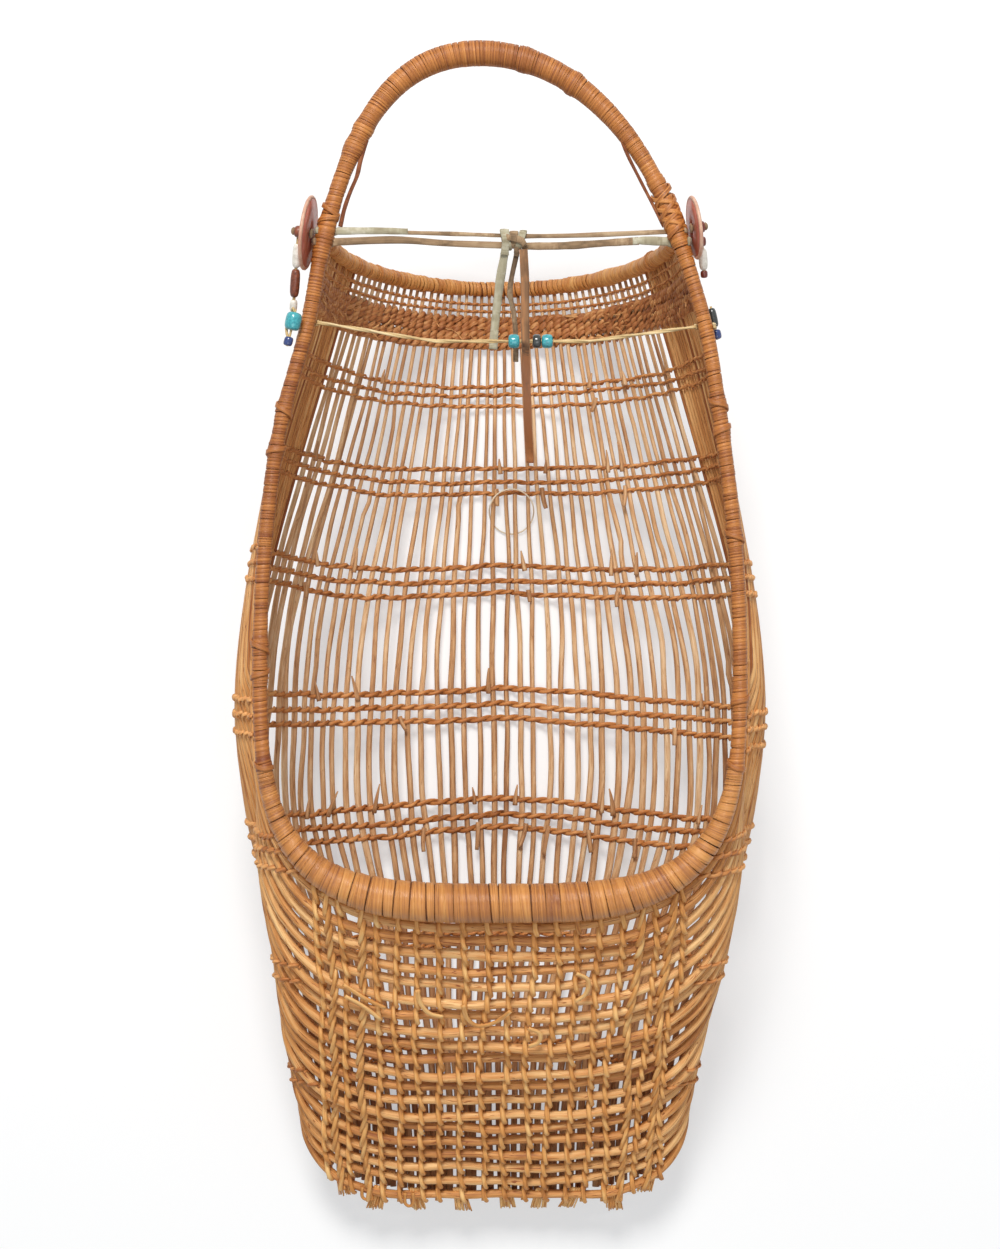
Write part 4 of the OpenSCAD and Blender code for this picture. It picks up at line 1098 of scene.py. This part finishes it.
# The bead string: two plies along a straight run, up to both rails and round them
STRING_Y = {-1: HEAD_Y - 43.5, 1: HEAD_Y - 45.5}
RUN_LEFT = -32.0
RUN_RIGHT = 45.0
RUN_Y = HEAD_Y - 52
RUN_Z = RIM_Z - 7
PLY_R = 0.62
PLY_OUT = 0.42
PLY_TWIST = 7.0
left_end, right_end = ([side * (rail_w(STRING_Y[side]) - LOOP_R + 0.6), STRING_Y[side], RIM_Z - 0.8]
                       for side in (-1, 1))
bends = np.array([left_end, [RUN_LEFT, RUN_Y, RUN_Z], [RUN_RIGHT, RUN_Y, RUN_Z], right_end])
path = np.concatenate([lerp(a, b, np.linspace(0, 1, 24)[:, None]) for a, b in zip(bends, bends[1:])])
path = path[np.concatenate([[True], np.linalg.norm(np.diff(path, axis=0), axis=1) > 0.01])]
t = shares(path)
rng = draws(6100)
form = Form()
for k in range(2):
    a = lengths(path) / PLY_TWIST + math.pi * k
    ply = path + PLY_OUT * xyz(0, np.cos(a), np.sin(a))
    form.sweep(ply, UP_Z, PLY_R, PLY_R, 8, 0.5 + wobble(t, rng, 0.12))
for side in (-1, 1):
    for shift in (-0.7, 0.7):
        loop, inward = rail_loop(side, STRING_Y[side] + shift)
        form.sweep(loop, inward, 0.75, 0.55, 8, 0.5 + 0.1 * shift)
form.piece("bead_string", "plies", [string_mat], "string")

# The beads on it
BEAD_BORE = 1.18
for label, x, length, material, body, slot in (
        ("turquoise_left", 7.0, 5.6, turquoise_mat, "left_bead", "turquoise_glass"),
        ("black", 18.5, 4.2, black_mat, "black_bead", "dark_glass"),
        ("turquoise_right", 23.8, 5.6, turquoise_mat, "right_bead", "turquoise_glass")):
    form = Form()
    form.turn(np.array([x, RUN_Y, RUN_Z]), [1, 0, 0], barrel(-length / 2, length, BEAD_R, BEAD_BORE), 36)
    form.piece(f"bead_{label}", "round", [material], slot, body)


# Beads tied to the rails beside the string's ends
TIE_R = 0.6


def bead_place(side, r, angle):
    a = math.radians(angle)
    out = RAIL_SEEN_R + 2 * GAP + THONG_T + r
    return rail_point(side, STRING_Y[side]) + out * np.array([side * math.cos(a), 0, math.sin(a)])


def tied_beads(form, start, way, length, beads):
    """Beads on a straight end of string, each with its start, length, radius and number of sides."""
    form.sweep(start + way * np.linspace(0, length, 12)[:, None], UP_Z, TIE_R, TIE_R, 8, 0.5)
    for mat, (begin, long, r, sides) in enumerate(beads, 1):
        form.turn(start, way, barrel(begin, long, r), sides, mat=mat, closed=False)


way = unit(np.array([-0.22, -1, 0]))
start = bead_place(-1, 3.6, 45) - 5.5 * way
rail = rail_point(-1, STRING_Y[-1])
form = Form()
tied_beads(form, start, way, 18.6, [(1.6, 8.8, 4.0, 36), (14, 4.4, 2.3, 28)])
route = [rail + [-5.4, 3, 1.6], rail + [-7.5, 3.8, 3.4], start + [-1.2, 0.6, 0.4], start + way * 2]
form.sweep(line_through(route), UP_Z, TIE_R, TIE_R, 8, 0.55)
route = [start + [-3.2, -2, -1.4], start + [-4.6, -6, -1.2], start + [-4.6, -11, -0.6],
         start + [-3.4, -14.5, 0], start + way * 15]
form.sweep(line_through(route), UP_Z, 0.7, 0.5, 8, 0.5)
form.piece("left_string_beads", "tie", [string_mat, turquoise_mat, blue_mat], "turquoise_glass")
way = unit(np.array([0.2, -1, 0]))
form = Form()
tied_beads(form, bead_place(1, 2.2, -45) - 11 * way, way, 17, [(1, 9.6, 2.1, 28), (12, 4.8, 2.4, 28)])
form.piece("right_string_beads", "tie", [string_mat, black_mat, blue_mat], "dark_glass")

# Discs on pegs outside the rails, each with a dangle on the same peg; shifts are towards the rail
DISC_LEAN = math.radians(-5)
DISC_YAW = math.radians(8.5)
DISC_OUT = 10.2
DISC_RISE = 4.5
DISC_BORE = 1.58
DANGLE_DROP = math.radians(22)
DISC_Y = {-1: HEAD_Y + 0.7, 1: HEAD_Y + 3}
DISC_R = {-1: LEFT_DISC_R, 1: RIGHT_DISC_R}
DISC_SHIFT = {-1: 3.0, 1: 1.0}
DANGLE_SHIFT = {-1: 1.4, 1: 1.0}
PEG_END = {-1: 8.4, 1: 6.6}
DANGLE_TOP = [(DISC_BORE, 1.4), (2.4, 1.5), (2.8, 2.0), (3.0, 3.2), (2.8, 4.4), (2.4, 4.9), (DISC_BORE, 5.0)]

# Beads of the dangles: start, length, radius and number of the material
DANGLE_BEADS = {
    -1: [(6, 12, 2.2, 2), (19, 14, 2.4, 3), (34.5, 6, 1.9, 2)],
    1: [(5, 4.6, 2.1, 1), (11, 10.5, 2.2, 2), (22, 3.6, 1.8, 1)]}
for side, label in SIDES:
    yaw = DISC_YAW if side > 0 else math.pi - DISC_YAW
    level = np.array([math.cos(yaw), math.sin(yaw), 0])
    axis = level * math.cos(DISC_LEAN) + UP_Z * math.sin(DISC_LEAN)
    down = level * math.sin(DISC_LEAN) - UP_Z * math.cos(DISC_LEAN)
    across = np.array([-math.sin(yaw), math.cos(yaw), 0])
    place = np.array([side * (rail_w(DISC_Y[side]) + DISC_OUT), DISC_Y[side], RIM_Z + DISC_RISE])
    centre, outer = place - axis * DISC_SHIFT[side], place - axis * DANGLE_SHIFT[side]
    r, half, end = DISC_R[side], DISC_T / 2, PEG_END[side]

    form = Form()
    form.turn(centre, axis, [(DISC_BORE, -half), (r * 0.5, -half - 0.1), (r - 1.4, -half), (r - 1.4, half),
                             (r * 0.5, half + 0.1), (DISC_BORE, half)], 56)
    form.turn(centre, axis, [(r - 1.5, -half - 0.02), (r - 0.5, -half * 0.9), (r, -half * 0.3),
                             (r, half * 0.3), (r - 0.5, half * 0.9), (r - 1.5, half + 0.02)], 56, mat=1)
    form.piece(f"{label}_disc", "shell", [disc_mat, disc_rim_mat], "shell", f"{label}_disc_body")

    form = Form()
    form.turn(centre, axis, [(1.2, -2.4), (2.2, -2.3), (2.4, -2.0), (2.4, -1.5), (1.5, -1.25),
                             (1.5, end - 1.6), (1.9, end - 1.4), (2.0, end - 0.8), (1.2, end)], 24,
              closed=False)
    form.piece(f"{label}_disc_peg", "tie", [hide_mat], "hide", bent=False)

    swing = math.pi / 2 - DANGLE_DROP
    way = math.cos(swing) * down - side * math.sin(swing) * across
    hang = outer + axis * 3.25
    beads = DANGLE_BEADS[side]
    last = beads[-1][0] + beads[-1][1]
    form = Form()
    form.turn(outer, axis, DANGLE_TOP, 28, mat=3 if side < 0 else 1)
    form.sweep(hang + way * np.linspace(2.8, last - 0.5, 16)[:, None], axis, 0.8, 0.8, 8, 0.5)
    for begin, length, r, mat in beads:
        form.turn(hang, way, barrel(begin, length, r), 28, mat=mat, closed=False)
    materials = [string_mat, dark_red_mat if side > 0 else black_mat, white_shell_mat, seed_mat]
    form.piece(f"{label}_dangle", "beads", materials, "shell", f"{label}_dangle_body")


# A loop of thread round the rods of the back
LOOP_Y = BAND_Y[1] - 18
THREAD_R = 0.42


def rod_gap(n):
    """Half way between two neighbouring back rods."""
    return (abs(at_y(back_rods[n], LOOP_Y)[0]) + abs(at_y(back_rods[n + 1], LOOP_Y)[0])) / 2


loop_left, loop_right = -rod_gap(1), rod_gap(3)
loop_x, loop_r = (loop_left + loop_right) / 2, (loop_right - loop_left) / 2
across, along_y = circle(72)
x, rise = loop_x + loop_r * across, loop_r * along_y
top_z = ROD_Z + row_rod_r(BAND_Y[1]) + WEFT_T + 2 * GAP + 0.8
low_z = ROD_Z - BACK_ROD_R - GAP - 0.4
wide, deep = widest_w(LOOP_Y + rise), HULL_DEPTH / (1 - np.cos(rail_angle(LOOP_Y + rise)))
z = lerp(low_z, top_z, smooth(rise / 9 + 0.5)) + deep * (1 - np.sqrt(1 - (x / wide) ** 2))
form = Form()
form.sweep(xyz(x, LOOP_Y + rise, z), UP_Z, THREAD_R, THREAD_R, 8, 0.6, closed=True)
form.piece("thread_loop", "twist", [thread_mat], "string")

# Narrow strips of hide along the inside of the handle's feet
rng = draws(6200)
form = Form()
for width, route in (
        (2.1, [(-66.5, 47.4, 0), (-69.6, 37.4, 0), (-71.5, 29.4, 0), (-75, 21.4, -0.5), (-78, 13.4, -1),
               (-80.5, 4.4, -2)]),
        (1.7, [(58.6, 53.4, 0), (63.3, 40.9, 0), (69.3, 28.9, -0.5), (77, 13.9, -1), (81.8, 4.4, -2)])):
    strap(form, rng, route, width, THIN_T, tone=0.95 - 0.25 * width)
form.piece(None, "handle_inner_strips", [strip_mat], "hide")

# Light, floor and world
bpy.context.scene.view_settings.view_transform = "Standard"
SKY_COLOUR = (0.90, 0.95, 1.0, 1)
SKY_STRENGTH = 0.34
LIT_PLACE = (0, 0, 0.05)
FLOOR_HALF = 3.0
FLOOR_COLOUR = (0.95, 0.95, 0.95, 1)
FLOOR_WHITE = 0.42
FADE_FROM = 0.5
FADE_TO = 1.3


def ray_share(tree, share):
    """A factor that is share for rays from the camera, mirrored or let through, and 0 for all others."""
    path = new_node(tree, "LightPath")
    total = path.outputs["Is Camera Ray"]
    for name in ("Is Glossy Ray", "Is Transmission Ray"):
        total = calc(tree, "MAXIMUM", total, path.outputs[name])
    return calc(tree, "MULTIPLY", total, share)


def show(tree, share, plain, white, output):
    """Mixes a share of white into what is seen of the floor or the world."""
    mix = new_node(tree, "MixShader", {0: share, 1: plain.outputs[0], 2: white.outputs[0]})
    put(tree, tree.nodes[output], {"Surface": mix.outputs[0]})


def lamp(name, place, size, power, colour):
    light = bpy.data.objects.new(name, bpy.data.lights.new(name, "AREA"))
    light.data.size = size
    light.data.energy = power
    light.data.color = colour
    light.location = place
    toward = np.array(LIT_PLACE) - place
    light.rotation_euler = (math.atan2(math.hypot(toward[0], toward[1]), -toward[2]), 0,
                            math.atan2(toward[1], toward[0]) - math.pi / 2)
    bpy.context.scene.collection.objects.link(light)


world = bpy.data.worlds.new("studio")
bpy.context.scene.world = world
world.use_nodes = True
tree = world.node_tree
sky = tree.nodes["Background"]
put(tree, sky, {"Color": SKY_COLOUR, "Strength": SKY_STRENGTH})
show(tree, ray_share(tree, 1.0), sky, new_node(tree, "Background", {"Color": (1, 1, 1, 1)}), "World Output")
lamp("key", (-0.16, 1.3, 1.9), 0.6, 44, (1.0, 0.985, 0.96))
lamp("fill", (0.2, -0.75, 2.2), 1.2, 12, (0.97, 0.985, 1.0))

# The floor keeps the shadow near the basket and fades to white farther off
floor_mesh = bpy.data.meshes.new("floor")
corners = [(x * FLOOR_HALF, y * FLOOR_HALF, 0) for x, y in ((-1, -1), (1, -1), (1, 1), (-1, 1))]
floor_mesh.from_pydata(corners, [], [(0, 1, 2, 3)])
floor = bpy.data.objects.new("floor", floor_mesh)
bpy.context.scene.collection.objects.link(floor)
floor_mat, tree, shader = new_material("white_floor")
put(tree, shader, {"Base Color": FLOOR_COLOUR, "Roughness": 0.9, "Specular IOR Level": 0.0})
place = new_node(tree, "TexCoord").outputs["Object"]
far = new_node(tree, "VectorMath", {0: place}, "LENGTH").outputs["Value"]
fade = new_node(tree, "MapRange", {"Value": far, "From Min": FADE_FROM, "From Max": FADE_TO,
                                   "To Min": FLOOR_WHITE, "To Max": 1.0})
fade.interpolation_type = "SMOOTHSTEP"
show(tree, ray_share(tree, fade.outputs[0]), shader, new_node(tree, "Emission"), "Material Output")
floor_mesh.materials.append(floor_mat)
